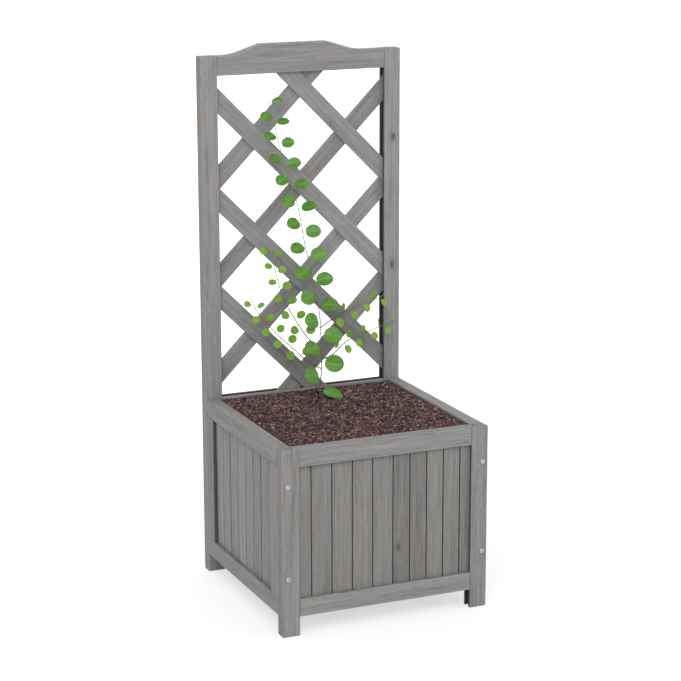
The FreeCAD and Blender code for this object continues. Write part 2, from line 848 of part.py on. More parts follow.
def height_on(line, place):
    """The height of a line of hollows and crests at a place along it."""
    for (start, low), (end, high) in zip(line, line[1:]):
        if place <= end.value:
            share = (place - start.value) / (end.value - start.value)
            return low.value + (high.value - low.value) * share
    return line[-1][1].value


def soil_height(x, y):
    """The height of the soil's surface, from the floor."""
    heights = (height_on(soil_line_x, x + soil_half_x.value),
               height_on(soil_line_y, y + soil_half_y.value))
    return base_top.value + min(heights)


nodes.append(soil_fill())


# ---------------------------------------------------------------- climber

# Each stem's route, chosen by hand: x across the trellis, height above the soil, and how far its
# line stands in front of the rear wall's inner face.
STEM_ROUTES = {
    "leader": [(2, 0, 72), (2, 8, 71), (6, 25, 62), (10, 35, 58), (15, 54, 50), (18, 73, 43),
               (20, 91, 36), (24, 117, 25), (27, 144, 14), (24, 165, 12), (15, 212, 11),
               (5, 252, 11), (-4, 293, 11), (-12, 345, 10), (-21, 377, 10), (-38, 426, 10),
               (-52, 473, 10), (-62, 522, 10), (-73, 556, 10)],
    "upper_left": [(19, 79, 41), (-2, 103, 20), (-19, 133, 12), (-34, 159, 9), (-44, 179, 9),
                   (-54, 207, 9), (-62, 238, 9), (-68, 261, 9), (-79, 291, 9)],
    "lower_left": [(14, 49, 52), (-3, 58, 36), (-12, 66, 24), (-21, 77, 16), (-36, 91, 11),
                   (-61, 115, 9), (-81, 138, 9), (-97, 159, 9), (-107, 175, 9), (-112, 195, 9)],
    "upper_right": [(24, 121, 23), (56, 135, 10), (81, 144, 9), (106, 153, 9), (119, 160, 9),
                    (148, 162, 9), (163, 171, 9)],
    "lower_right": [(17, 66, 46), (43, 66, 30), (59, 74, 22), (79, 86, 14), (97, 93, 10),
                    (119, 96, 9), (140, 105, 9), (163, 110, 9), (185, 116, 9)],
}
# Leaves along each stem: distance of the first from the stem's start, and the widths of the
# lowest and the highest leaf.
LEAF_RUNS = {
    "leader": (13, 36, 20),
    "upper_left": (50, 18, 14),
    "lower_left": (50, 18, 13),
    "upper_right": (46, 17, 13),
    "lower_right": (38, 17, 13),
}
LEAF_LENGTH_RATIO = 1.1
LEAF_LEAN = 92
LEAF_FORWARD = 0.42
LEAF_LOW_TILT = 24
LEAF_HIGH_TILT = 50
LEAF_SWING = 12
LEAF_STEP_RATIO = 0.58
LEAF_STEP_BASE = 7.5
GOLDEN_ANGLE = 137.5


def route_points(name):
    return [
        FreeCAD.Vector(x, rear_wall_face.value - out, soil_top.value + above)
        for x, above, out in STEM_ROUTES[name]
    ]


def stem_solid(points, diameter):
    """A round stem along straight runs with mitred turns."""
    path = Part.makePolygon(points)
    start = Part.Circle(points[0], points[1] - points[0], diameter / 2)
    return path.makePipeShell([Part.Wire([start.toShape()])], True, False, 1)


def along_route(points, distance):
    """The point that far along a route, and the route's direction there."""
    for start, end in zip(points, points[1:]):
        run = (end - start).Length
        if distance <= run:
            direction = (end - start).normalize()
            return start + direction * distance, direction
        distance -= run
    return None


def leaf_solid(root, direction, side, leaf_width, share, number):
    """A round leaf on its stalk at one side of the stem, turned up to the light: a little near the
    stem's foot, more near its tip, and flatter where it would touch the soil."""
    outward, upward = FreeCAD.Vector(0, -1, 0), FreeCAD.Vector(0, 0, 1)
    across = direction.cross(outward).normalize() * side
    lean = math.radians(LEAF_LEAN)
    heading = (across * math.sin(lean) + direction * math.cos(lean)
               + outward * LEAF_FORWARD).normalize()
    stem_radius = size("stem_diameter").value / 2
    stalk_radius = size("petiole_diameter").value / 2
    stalk = size("petiole_length").value
    slant = heading.dot(direction)
    reach = stem_radius + stalk_radius * abs(slant) + size("stalk_gap").value
    stalk_start = root + heading * (reach / math.sqrt(1 - slant ** 2))
    blade_base = stalk_start + heading * stalk
    half_length = leaf_width * LEAF_LENGTH_RATIO / 2
    centre = blade_base + heading * (half_length - stalk / 4)
    swing = math.radians(LEAF_SWING) * math.sin(math.radians(number * GOLDEN_ANGLE))
    tilt = math.radians(LEAF_LOW_TILT + (LEAF_HIGH_TILT - LEAF_LOW_TILT) * share) + swing
    room = (centre.z - soil_top.value - size("leaf_thickness").value) / (leaf_width / 2)
    tilt = max(tilt, math.acos(min(1, max(0, room))))
    facing = outward * math.cos(tilt) + upward * math.sin(tilt) + across * (swing / 2)
    facing = (facing - heading * facing.dot(heading)).normalize()
    thickness = size("leaf_thickness").value
    frame = FreeCAD.Rotation(facing.cross(heading), heading, facing, "ZXY")
    blade = Part.makeCylinder(leaf_width / 2, thickness)
    squash = FreeCAD.Matrix()
    squash.A22 = LEAF_LENGTH_RATIO
    blade = blade.transformGeometry(squash)
    blade.Placement = FreeCAD.Placement(centre - facing * thickness / 2, frame)
    stalk_body = Part.makeCylinder(stalk_radius, stalk, stalk_start, heading)
    return blade.fuse(stalk_body)


def seated(points, radius):
    """A rising stem's points with the first let down onto the soil."""
    foot = points[0]
    reach = (-radius, 0, radius)
    level = max(soil_height(foot.x + dx, foot.y + dy) for dx in reach for dy in reach)
    seat = FreeCAD.Vector(foot.x, foot.y, level + size("stalk_gap").value)
    return [seat] + points[1:]


def climber_stems():
    diameter = size("stem_diameter").value
    routes = {name: route_points(name) for name in STEM_ROUTES}
    routes["leader"] = seated(routes["leader"], diameter / 2)
    solids = [stem_solid(points, diameter) for points in routes.values()]
    stems = solids[0].fuse(solids[1:])
    item = doc.addObject("Part::Feature", "vine_stems")
    item.Shape = stems
    return item


def climber_leaves():
    leaves = []
    for name, (first, low_width, high_width) in LEAF_RUNS.items():
        points = route_points(name)
        total = sum((b - a).Length for a, b in zip(points, points[1:]))
        distance, count = first, 0
        while distance < total:
            root, direction = along_route(points, distance)
            share = distance / total
            leaf_width = low_width + (high_width - low_width) * share
            side = -1 if count % 2 else 1
            leaves.append(leaf_solid(root, direction, side, leaf_width, share, len(leaves)))
            distance += leaf_width * LEAF_STEP_RATIO + LEAF_STEP_BASE
            count += 1
    item = doc.addObject("Part::Feature", "vine_leaves")
    item.Shape = Part.makeCompound(leaves)
    return item


nodes.append(climber_stems())
nodes.append(climber_leaves())


# ---------------------------------------------------------------- check and write

doc.recompute()
for item in doc.Objects:
    if "Invalid" in item.State or "Error" in item.State:
        raise RuntimeError(f"{item.Name} failed: {item.State}")
for node in nodes:
    if node.Shape.isNull() or not node.Shape.isValid() or not node.Shape.Solids:
        raise RuntimeError(f"{node.Label} has no valid solid")

os.makedirs(PARTS_FOLDER, exist_ok=True)
for node in nodes:
    node.Shape.exportStep(os.path.join(PARTS_FOLDER, f"{node.Label}.step"))
whole = Part.makeCompound([node.Shape for node in nodes]).BoundBox
print(f"{len(nodes)} nodes, {sum(len(node.Shape.Solids) for node in nodes)} solids, "
      f"{whole.XLength:.1f} x {whole.YLength:.1f} x {whole.ZLength:.1f} mm")
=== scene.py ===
"""A square wooden planter with a trellis back, filled with bark soil and planted with a young climber.

Metres, +Z up, the front of the box towards -Y. Every wooden member is swept from its section with
worn arrises, and carries its own grain coordinates for the weathered glaze.
"""

import logging
import math
import random
from dataclasses import dataclass, field
from enum import Enum
from typing import Callable, Optional, Sequence, Union

import bmesh
import bpy
from mathutils import Euler, Matrix, Vector, noise
from mathutils.bvhtree import BVHTree
from mathutils.geometry import tessellate_polygon


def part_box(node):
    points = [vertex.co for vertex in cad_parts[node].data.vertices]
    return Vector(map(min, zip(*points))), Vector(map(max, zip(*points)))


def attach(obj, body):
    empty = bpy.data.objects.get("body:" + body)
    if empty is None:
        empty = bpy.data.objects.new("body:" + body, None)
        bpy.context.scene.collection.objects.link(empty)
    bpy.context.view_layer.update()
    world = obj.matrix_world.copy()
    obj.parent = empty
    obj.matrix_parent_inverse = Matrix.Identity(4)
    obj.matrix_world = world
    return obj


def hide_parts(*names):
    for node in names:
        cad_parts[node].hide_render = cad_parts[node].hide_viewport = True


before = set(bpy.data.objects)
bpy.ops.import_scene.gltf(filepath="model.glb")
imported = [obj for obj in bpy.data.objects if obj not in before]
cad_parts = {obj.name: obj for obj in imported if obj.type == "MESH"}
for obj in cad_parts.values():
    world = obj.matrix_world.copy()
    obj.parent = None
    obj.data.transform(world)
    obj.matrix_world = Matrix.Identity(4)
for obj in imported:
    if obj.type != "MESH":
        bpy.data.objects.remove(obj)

logging.basicConfig(level=logging.INFO, format="%(message)s")
log = logging.getLogger("planter")

Material = bpy.types.Material
Mesh = bpy.types.Mesh
Object = bpy.types.Object
Colour = tuple[float, float, float]
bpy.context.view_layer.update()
BODY = "root"


# ---------------------------------------------------------------- node graphs


class Socket:
    """One output of a node; arithmetic on it adds the nodes that work it out."""

    def __init__(self, graph: "Graph", socket: bpy.types.NodeSocket) -> None:
        """Keeps the graph and the bpy socket."""
        self.graph = graph
        self.socket = socket

    def _is_wide(self) -> bool:
        """Whether the socket carries a colour or a vector."""
        return self.socket.type in {"VECTOR", "RGBA"}

    def _pair(self, operation: str, first: "Operand", second: "Operand") -> "Socket":
        """Adds one two-sided operation.

        Args:
            operation: The name that both Math and Vector Math know.
            first: The left side.
            second: The right side.

        Returns:
            The result's socket.
        """
        sides = (first, second)
        kind = "ShaderNodeMath"
        if any(isinstance(s, tuple) or (isinstance(s, Socket) and s._is_wide()) for s in sides):
            kind = "ShaderNodeVectorMath"
            sides = tuple(s if isinstance(s, (Socket, tuple)) else (s, s, s) for s in sides)
        return self.graph.node(kind, {"operation": operation}, dict(enumerate(sides)))

    def __add__(self, other: "Operand") -> "Socket":
        """The sum."""
        return self._pair("ADD", self, other)

    def __radd__(self, other: "Operand") -> "Socket":
        """The sum, reflected."""
        return self._pair("ADD", other, self)

    def __sub__(self, other: "Operand") -> "Socket":
        """The difference."""
        return self._pair("SUBTRACT", self, other)

    def __rsub__(self, other: "Operand") -> "Socket":
        """The difference, reflected."""
        return self._pair("SUBTRACT", other, self)

    def __mul__(self, other: "Operand") -> "Socket":
        """The product."""
        return self._pair("MULTIPLY", self, other)

    def __rmul__(self, other: "Operand") -> "Socket":
        """The product, reflected."""
        return self._pair("MULTIPLY", other, self)

    def least(self, other: "Operand") -> "Socket":
        """The smaller of the two."""
        return self._pair("MINIMUM", self, other)

    def most(self, other: "Operand") -> "Socket":
        """The larger of the two."""
        return self._pair("MAXIMUM", self, other)

    def apply(self, operation: str, *others: float) -> "Socket":
        """The result of a Math operation on it."""
        inputs = dict(enumerate((self, *others)))
        return self.graph.node("ShaderNodeMath", {"operation": operation}, inputs)

    def length(self) -> "Socket":
        """The length of a vector."""
        return self.graph.node("ShaderNodeVectorMath", {"operation": "LENGTH"}, {0: self}, output="Value")

    def part(self, axis: int) -> "Socket":
        """One component of a vector: 0, 1 or 2."""
        return self.graph.node("ShaderNodeSeparateXYZ", None, {0: self}, output=axis)

    def step(self, low: float, high: float, to_low: float = 0.0, to_high: float = 1.0) -> "Socket":
        """A smooth step from to_low at low to to_high at high.

        Args:
            low: The value where the step begins.
            high: The value where it ends.
            to_low: The result before the step.
            to_high: The result after it.

        Returns:
            The stepped value's socket.
        """
        settings = {"interpolation_type": "SMOOTHSTEP"}
        inputs = {0: self, 1: low, 2: high, 3: to_low, 4: to_high}
        return self.graph.node("ShaderNodeMapRange", settings, inputs)


Operand = Union[Socket, float, tuple]


class Graph:
    """A shader or geometry node tree and the one way in which nodes are added to it."""

    MIX_COLOUR_INPUTS = (0, 6, 7)
    MIX_COLOUR_OUTPUT = 2

    def __init__(self, tree: bpy.types.NodeTree) -> None:
        """Wraps an empty node tree."""
        self.tree = tree

    def add(self, kind: str, settings: Optional[dict] = None,
            inputs: Optional[dict] = None) -> bpy.types.Node:
        """Adds a node, sets it up and feeds its sockets.

        Args:
            kind: The node's type.
            settings: Its properties; "stops" holds a ramp's (place, colour) pairs.
            inputs: A value or a Socket for each input's name or number.

        Returns:
            The node.
        """
        node = self.tree.nodes.new(kind)
        for name, value in (settings or {}).items():
            if name == "stops":
                self._set_stops(node.color_ramp, value)
            else:
                setattr(node, name, value)
        for key, value in (inputs or {}).items():
            self.feed(node.inputs[key], value)
        return node

    def node(self, kind: str, settings: Optional[dict] = None, inputs: Optional[dict] = None,
             output: Union[int, str] = 0) -> Socket:
        """Adds a node as add() does and returns one of its outputs."""
        return Socket(self, self.add(kind, settings, inputs).outputs[output])

    def mix(self, factor: Operand, low: Operand, high: Operand) -> Socket:
        """Blends two colours.

        Args:
            factor: The share of the second colour.
            low: The first colour.
            high: The second colour.

        Returns:
            The blended colour's socket.
        """
        inputs = dict(zip(self.MIX_COLOUR_INPUTS, (factor, low, high)))
        return self.node("ShaderNodeMix", {"data_type": "RGBA"}, inputs, output=self.MIX_COLOUR_OUTPUT)

    def combine(self, x: Operand = 0.0, y: Operand = 0.0, z: Operand = 0.0) -> Socket:
        """The vector of three numbers."""
        return self.node("ShaderNodeCombineXYZ", None, {0: x, 1: y, 2: z})

    def seen_by(self, *rays: str) -> Socket:
        """1 where one of the named kinds of ray meets the surface.

        Args:
            rays: The names of the ray kinds.

        Returns:
            1 or 0.
        """
        path = self.add("ShaderNodeLightPath")
        seen = Socket(self, path.outputs[rays[0]])
        for ray in rays[1:]:
            seen = seen.most(Socket(self, path.outputs[ray]))
        return seen

    @staticmethod
    def _set_stops(ramp: bpy.types.ColorRamp, stops: Sequence[tuple]) -> None:
        """Gives a ramp its (place, colour) pairs.

        Args:
            ramp: The ramp.
            stops: Its (place, colour) pairs.
        """
        while len(ramp.elements) < len(stops):
            ramp.elements.new(0.5)
        for element, (place, colour) in zip(ramp.elements, stops):
            element.position = place
            element.color = (*colour, 1.0)

    def feed(self, target: bpy.types.NodeSocket, value: object) -> None:
        """Links a Socket to an input, or sets the input's own value.

        Args:
            target: The input.
            value: A Socket, or a plain value.
        """
        if isinstance(value, Socket):
            self.tree.links.new(value.socket, target)
        elif target.type == "RGBA":
            target.default_value = (*value, 1.0)
        else:
            target.default_value = value


class GeometryGraph(Graph):
    """A geometry node tree with named inputs, run once on an object to make a plain mesh."""

    def __init__(self, name: str, inputs: Sequence[tuple]) -> None:
        """Makes the tree and its interface.

        Args:
            name: The tree's name.
            inputs: (name, socket type, value) of each input; the value may be None.
        """
        super().__init__(bpy.data.node_groups.new(name, "GeometryNodeTree"))
        self.identifiers: dict[str, str] = {}
        interface = self.tree.interface
        for label, kind, value in inputs:
            item = interface.new_socket(label, in_out="INPUT", socket_type=kind)
            if value is not None:
                item.default_value = value
            self.identifiers[label] = item.identifier
        interface.new_socket("Geometry", in_out="OUTPUT", socket_type="NodeSocketGeometry")
        self._given = self.add("NodeGroupInput")
        self._result = self.add("NodeGroupOutput")

    def given(self, label: str) -> Socket:
        """One of the tree's named inputs."""
        return Socket(self, self._given.outputs[label])

    def named(self, label: str, kind: str = "FLOAT") -> Socket:
        """A named attribute's value on the geometry."""
        return self.node("GeometryNodeInputNamedAttribute", {"data_type": kind}, {"Name": label})

    def shape(self, label: str) -> Socket:
        """The geometry of the object that a named input gives."""
        return self.node("GeometryNodeObjectInfo", None, {"Object": self.given(label)}, "Geometry")

    def instances(self, points: Socket, item: Socket, **lie: Operand) -> Socket:
        """A copy of the item on every point; lie holds its Rotation and its Scale."""
        return self.node("GeometryNodeInstanceOnPoints", None, {"Points": points, "Instance": item, **lie})

    def real(self, geometry: Socket) -> Socket:
        """The geometry with its instances made real."""
        return self.node("GeometryNodeRealizeInstances", None, {"Geometry": geometry})

    def moved(self, geometry: Socket, **how: Operand) -> Socket:
        """The geometry with its points at a new Position, or moved by an Offset."""
        return self.node("GeometryNodeSetPosition", None, {"Geometry": geometry, **how})

    def turn(self) -> Socket:
        """The rotation that the points carry as Euler angles."""
        return self.node("FunctionNodeEulerToRotation", None, {0: self.named("turn", "FLOAT_VECTOR")})

    def chance(self, low: float, high: float, seed: Operand) -> Socket:
        """A random number for each element.

        Args:
            low: The least value.
            high: The greatest value.
            seed: The seed.

        Returns:
            The number's socket.
        """
        return self.node("FunctionNodeRandomValue", {"data_type": "FLOAT"},
                         {2: low, 3: high, "Seed": seed}, output=1)

    def store(self, geometry: Socket, label: str, value: Operand, kind: str = "FLOAT") -> Socket:
        """Writes a named attribute on the geometry's points.

        Args:
            geometry: What it is written on.
            label: The attribute's name.
            value: Its value.
            kind: Its data type.

        Returns:
            The geometry with the attribute.
        """
        inputs = {"Geometry": geometry, "Name": label, "Value": value}
        return self.node("GeometryNodeStoreNamedAttribute", {"data_type": kind, "domain": "POINT"}, inputs)

    def finish(self, geometry: Socket, material: Material) -> None:
        """Makes the instances real, gives them their material and ends the tree.

        Args:
            geometry: What the tree makes.
            material: Its material.
        """
        inputs = {"Geometry": self.real(geometry), "Material": material}
        dressed = self.node("GeometryNodeSetMaterial", None, inputs)
        self.feed(self._result.inputs[0], dressed)

    def grow(self, name: str, values: dict[str, object],
             base: Optional[bpy.types.ID] = None) -> Object:
        """Runs the tree and keeps what it makes as a plain mesh object.

        Args:
            name: The piece's name.
            values: A value for each named input that differs from its default.
            base: The mesh or curve that the tree starts from, if it reads one.

        Returns:
            The finished object, with no modifier left.
        """
        piece = link(name, base or bpy.data.meshes.new(name))
        modifier = piece.modifiers.new(name, "NODES")
        modifier.node_group = self.tree
        for label, value in values.items():
            modifier[self.identifiers[label]] = value
        bpy.context.view_layer.update()
        graph = bpy.context.evaluated_depsgraph_get()
        mesh = bpy.data.meshes.new_from_object(piece.evaluated_get(graph),
                                               preserve_all_data_layers=True, depsgraph=graph)
        bpy.data.objects.remove(piece)
        mesh.name = name
        return link(name, mesh)


def new_mesh(name: str, points: Sequence, faces: Sequence = (), **values: Sequence) -> Mesh:
    """Makes a mesh and stores numbers or vectors on its points.

    Args:
        name: The mesh's name.
        points: Its points.
        faces: Its faces, as lists of point numbers.
        values: A value for every point, by the attribute's name.

    Returns:
        The mesh.
    """
    mesh = bpy.data.meshes.new(name)
    mesh.from_pydata(points, [], faces)
    for label, stored in values.items():
        if isinstance(stored[0], (int, float)):
            mesh.attributes.new(label, "FLOAT", "POINT").data.foreach_set("value", stored)
        else:
            numbers = [number for value in stored for number in value]
            mesh.attributes.new(label, "FLOAT_VECTOR", "POINT").data.foreach_set("vector", numbers)
    return mesh


def tube_faces(rings: int, around: int) -> list[list[int]]:
    """The sides of a tube whose points lie ring after ring.

    Args:
        rings: The number of rings.
        around: The number of points in a ring.

    Returns:
        The four-sided faces between neighbouring rings.
    """
    return [[r * around + i, r * around + (i + 1) % around, (r + 1) * around + (i + 1) % around,
             (r + 1) * around + i] for r in range(rings - 1) for i in range(around)]


def tube_ends(rings: int, around: int) -> list[list[int]]:
    """The flat faces that close the tube's first and last ring."""
    last = (rings - 1) * around
    return [list(range(around - 1, -1, -1)), list(range(last, last + around))]


def link(name: str, data: bpy.types.ID) -> Object:
    """Makes an object of that data at the origin and links it to the scene.

    Args:
        name: The object's name.
        data: Its mesh, curve, lamp or camera.

    Returns:
        The object.
    """
    made = bpy.data.objects.new(name, data)
    bpy.context.scene.collection.objects.link(made)
    return made


def mount_piece(piece: Object, slot: str, *nodes: str) -> Object:
    """Lets a finished piece ride on the body and stand for its CAD nodes, which it hides.

    Args:
        piece: The finished mesh object.
        slot: Not used.
        nodes: The CAD nodes that the piece stands for.

    Returns:
        The same piece.
    """
    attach(piece, BODY)
    if nodes:
        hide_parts(*nodes)
    log.info("%s: %d faces, stands for %d nodes", piece.name, len(piece.data.polygons), len(nodes))
    return piece


# ---------------------------------------------------------------- finishes


class ShaderGraph(Graph):
    """A material's node tree with the maps that the finishes share."""

    def __init__(self, name: str) -> None:
        """Makes a material with only its output.

        Args:
            name: The material's name.
        """
        self.material = bpy.data.materials.new(name)
        self.material.use_nodes = True
        super().__init__(self.material.node_tree)
        self.tree.nodes.clear()
        self._output = self.add("ShaderNodeOutputMaterial")

    def place(self) -> Socket:
        """The place on the object."""
        return self.node("ShaderNodeTexCoord", None, None, output="Object")

    def end(self, shader: Socket) -> Material:
        """Ends the tree in that shader and returns the material."""
        self.feed(self._output.inputs["Surface"], shader)
        return self.material

    def attribute(self, label: str, output: str = "Fac") -> Socket:
        """A named attribute of the mesh; output is Fac, Vector or Color."""
        return self.node("ShaderNodeAttribute", {"attribute_name": label}, None, output=output)

    def noise(self, place: Socket, scale: float, detail: float = 2.0, rough: float = 0.5,
              output: str = "Fac") -> Socket:
        """Smooth noise over a vector.

        Args:
            place: The vector that is read.
            scale: Its scale.
            detail: Its octaves.
            rough: How much the finer octaves count.
            output: Fac for a number, Color for three.

        Returns:
            The noise's socket.
        """
        inputs = {"Vector": place, "Scale": scale, "Detail": detail, "Roughness": rough}
        return self.node("ShaderNodeTexNoise", None, inputs, output=output)

    def surface(self, colour: Operand, roughness: Operand, height: Optional[Socket] = None,
                relief: float = 0.0, metallic: float = 0.0, specular: float = 0.5) -> Material:
        """Ends the tree in one principled shader.

        Args:
            colour: The base colour.
            roughness: The roughness.
            height: The relief's height, in metres.
            relief: The strength of the relief.
            metallic: 1 for a bare metal.
            specular: The reflection at the shader's own socket.

        Returns:
            The finished material.
        """
        inputs = {"Base Color": colour, "Roughness": roughness, "Metallic": metallic,
                  "Specular IOR Level": specular}
        if height is not None:
            inputs["Normal"] = self.node("ShaderNodeBump", None,
                                         {"Strength": relief, "Distance": 1.0, "Height": height})
        return self.end(self.node("ShaderNodeBsdfPrincipled", None, inputs))


@dataclass(frozen=True)
class Knot:
    """A knot in the wood: its place, its radius, and which way the grain runs round it."""

    place: Colour
    radius: float
    along: Colour


@dataclass(frozen=True)
class WeatheredWood:
    """Fir under a thin grey glaze: streaked along the grain, patched warm and cool, with painted shade in
    its grooves, on its lips, in its seams and along its joint lines, and paler on its worn arrises. It
    reads the grain coordinates that each piece carries."""

    name: str
    grey: Colour = (0.250, 0.247, 0.245)
    warm: Colour = (0.250, 0.222, 0.205)
    cool: Colour = (0.222, 0.238, 0.250)
    # The colour of the painted shade that the shade attribute lays in grooves, on lips, in seams and along
    # joint lines.
    dark: Colour = (0.030, 0.028, 0.026)
    knot_brown: Colour = (0.105, 0.078, 0.062)
    streaks: float = 0.42
    patching: float = 0.8
    tone_spread: float = 0.08
    knots: tuple[Knot, ...] = ()

    def material(self) -> Material:
        """Builds the glaze.

        Returns:
            The material.
        """
        graph = ShaderGraph(self.name)
        grain = graph.attribute("grain", "Vector")
        tone = graph.attribute("tone")
        edge = graph.attribute("edge")
        shade = graph.attribute("shade")
        bend = graph.noise(grain * (9.0, 40.0, 40.0), 1.0, 2.0, output="Color") * 0.004
        fibre = grain + (bend - (0.002, 0.002, 0.002)) * (0.0, 1.0, 1.0)
        broad = graph.noise(fibre * (5.0, 130.0, 130.0), 1.0, 3.0, 0.55)
        fine = graph.noise(fibre * (14.0, 520.0, 520.0), 1.0, 3.0, 0.6)
        hair = graph.noise(fibre * (60.0, 1900.0, 1900.0), 1.0, 2.0, 0.6)
        patches = graph.noise(grain * (9.0, 26.0, 26.0), 1.0, 3.0, 0.6)
        drift = graph.noise(grain * (16.0, 34.0, 34.0) + (5.0, 3.0, 1.0), 1.0, 2.0)
        mottle = graph.noise(grain * (70.0, 190.0, 190.0), 1.0, 3.0, 0.65)

        colour = graph.mix(patches.step(0.44, 0.72) * self.patching, self.grey, self.warm)
        colour = graph.mix(drift.step(0.50, 0.76) * self.patching, colour, self.cool)
        level = 1.0 + (broad - 0.5) * (1.7 * self.streaks) + (fine - 0.5) * (2.1 * self.streaks)
        level = level + (mottle - 0.5) * 0.34 + (hair - 0.5) * 0.22 + tone * self.tone_spread
        level = level + (patches - 0.5) * 0.30
        cracks = fine.step(0.36, 0.27) * broad.step(0.66, 0.42)
        level = level * (1.0 - cracks * 0.5)
        colour = colour * level
        worn = edge.step(0.75, 0.05) * graph.noise(grain * (45.0, 60.0, 60.0), 1.0, 3.0).step(0.38, 0.62)
        colour = graph.mix(worn * 0.45, colour, tuple(c * 1.42 for c in self.grey))
        height = (fine - 0.5) * 0.00030 + (hair - 0.5) * 0.00010 + (broad - 0.5) * 0.00025
        height = height - cracks * 0.00018
        colour, height = self._with_knots(graph, colour, height)
        # Painted shade: where the shade attribute is high, the colour goes to dark, standing in for the
        # shadow in grooves, lips, seams and joints.
        colour = graph.mix(shade, colour, self.dark)
        roughness = 0.70 + (fine - 0.5) * 0.25 + shade * 0.1
        return graph.surface(colour, roughness, height, 0.85, specular=0.35)

    def _with_knots(self, graph: ShaderGraph, colour: Socket, height: Socket) -> tuple[Socket, Socket]:
        """Paints the knots over the grain.

        Args:
            graph: The material's graph.
            colour: The wood's colour.
            height: The wood's relief.

        Returns:
            The colour and the relief with the knots in them.
        """
        if not self.knots:
            return colour, height
        place = graph.place()
        wobble = graph.noise(place, 160.0, 2.0, output="Color") * 0.0024
        for knot in self.knots:
            away = place + wobble - tuple(c + 0.0012 for c in knot.place)
            stretch = tuple(0.55 if a else 1.0 for a in knot.along)
            reach = (away * stretch).length() * (1.0 / knot.radius)
            rings = (reach * 9.0).apply("SINE")
            heart = reach.step(1.1, 0.35)
            halo = reach.step(2.6, 1.0) * (0.5 + rings * 0.5)
            colour = graph.mix(halo * 0.45, colour, tuple(c * 0.62 for c in self.warm))
            colour = graph.mix(heart * 0.9, colour, self.knot_brown)
            height = height - heart * 0.0003
        return colour, height


@dataclass(frozen=True)
class BarkMulch:
    """Loose bark: red-brown chips from near black to a few pale ones."""

    name: str
    dark: Colour = (0.022, 0.011, 0.012)
    middle: Colour = (0.115, 0.062, 0.062)
    light: Colour = (0.27, 0.165, 0.155)
    pale: Colour = (0.66, 0.43, 0.32)
    roughness: float = 0.85

    def material(self) -> Material:
        """Builds the bark.

        Returns:
            The material.
        """
        graph = ShaderGraph(self.name)
        place = graph.place()
        tone = graph.attribute("tone")
        speckle = graph.noise(place, 420.0, 3.0, 0.65)
        blotch = graph.noise(place, 90.0, 2.0)
        mark = tone + (speckle - 0.5) * 0.45 + (blotch - 0.5) * 0.35
        stops = [(0.0, self.dark), (0.38, self.middle), (0.72, self.light), (1.0, self.pale)]
        colour = graph.node("ShaderNodeValToRGB", {"stops": stops}, {"Fac": mark})
        height = (speckle - 0.5) * 0.0012
        return graph.surface(colour, self.roughness, height, 0.8, specular=0.3)


@dataclass(frozen=True)
class Leaf:
    """A fresh leaf: green with paler veins and a paler middle, yellower while it is young."""

    name: str
    green: Colour = (0.095, 0.285, 0.016)
    deep: Colour = (0.038, 0.150, 0.008)
    young: Colour = (0.190, 0.370, 0.022)
    vein: Colour = (0.21, 0.42, 0.070)
    roughness: float = 0.42

    def material(self) -> Material:
        """Builds the leaf's skin.

        Returns:
            The material.
        """
        graph = ShaderGraph(self.name)
        blade = graph.attribute("blade", "Vector")
        tone = graph.attribute("tone")
        across, along = blade.part(0), blade.part(1)
        side = across.apply("ABSOLUTE")
        rib = side.step(0.075, 0.015) * along.step(1.02, 0.85)
        wave = ((along - side * 0.75) * 5.2).apply("PINGPONG", 0.5)
        veins = wave.step(0.085, 0.02) * side.step(0.95, 0.55) * 0.75
        place = graph.place()
        cloud = graph.noise(place, 130.0, 3.0)
        colour = graph.mix((cloud.step(0.35, 0.68) * 0.6 + side * 0.35).least(1.0), self.green, self.deep)
        colour = graph.mix(tone.step(0.15, 1.0) * 0.85, colour, self.young)
        colour = graph.mix(rib.most(veins) * 0.6, colour, self.vein)
        height = rib.most(veins) * -0.0003 + (cloud - 0.5) * 0.0006
        roughness = self.roughness + (cloud - 0.5) * 0.2
        return graph.surface(colour, roughness, height, 0.7)


@dataclass(frozen=True)
class Stem:
    """A thin woody stem, red-brown with green where it is young."""

    name: str
    brown: Colour = (0.13, 0.062, 0.035)
    green: Colour = (0.15, 0.24, 0.035)
    roughness: float = 0.6

    def material(self) -> Material:
        """Builds the bark of the stem.

        Returns:
            The material.
        """
        graph = ShaderGraph(self.name)
        place = graph.place()
        cloud = graph.noise(place, 70.0, 3.0)
        speck = graph.noise(place * (1.0, 1.0, 0.25), 1500.0, 2.0)
        mark = (graph.attribute("tone") * 0.7 + (cloud - 0.35) * 1.1).step(0.1, 0.8)
        colour = graph.mix(mark, self.brown, self.green) * (0.75 + speck * 0.5)
        return graph.surface(colour, self.roughness, (speck - 0.5) * 0.0003, 0.6)


@dataclass(frozen=True)
class ZincSteel:
    """Zinc-plated steel with a fine brushed haze, and painted shade in its socket and under its head."""

    name: str
    bright: Colour = (0.62, 0.62, 0.61)
    # The colour of the brushed haze, and of the painted shade in the socket and under the head.
    haze_and_shade: Colour = (0.20, 0.195, 0.19)
    roughness: float = 0.36

    def material(self) -> Material:
        """Builds the plating.

        Returns:
            The material.
        """
        graph = ShaderGraph(self.name)
        place = graph.place()
        haze = graph.noise(place * (1.0, 1.0, 6.0), 900.0, 3.0)
        shade = graph.attribute("shade")
        # Painted shade from the shade attribute darkens the hex socket and the underside of the head.
        colour = graph.mix((haze.step(0.45, 0.8) * 0.35 + shade).least(1.0), self.bright, self.haze_and_shade)
        roughness = self.roughness + (haze - 0.5) * 0.3 + shade * 0.2
        return graph.surface(colour, roughness, (haze - 0.5) * 0.0001, 0.4, metallic=1.0)


# ---------------------------------------------------------------- swept wooden members


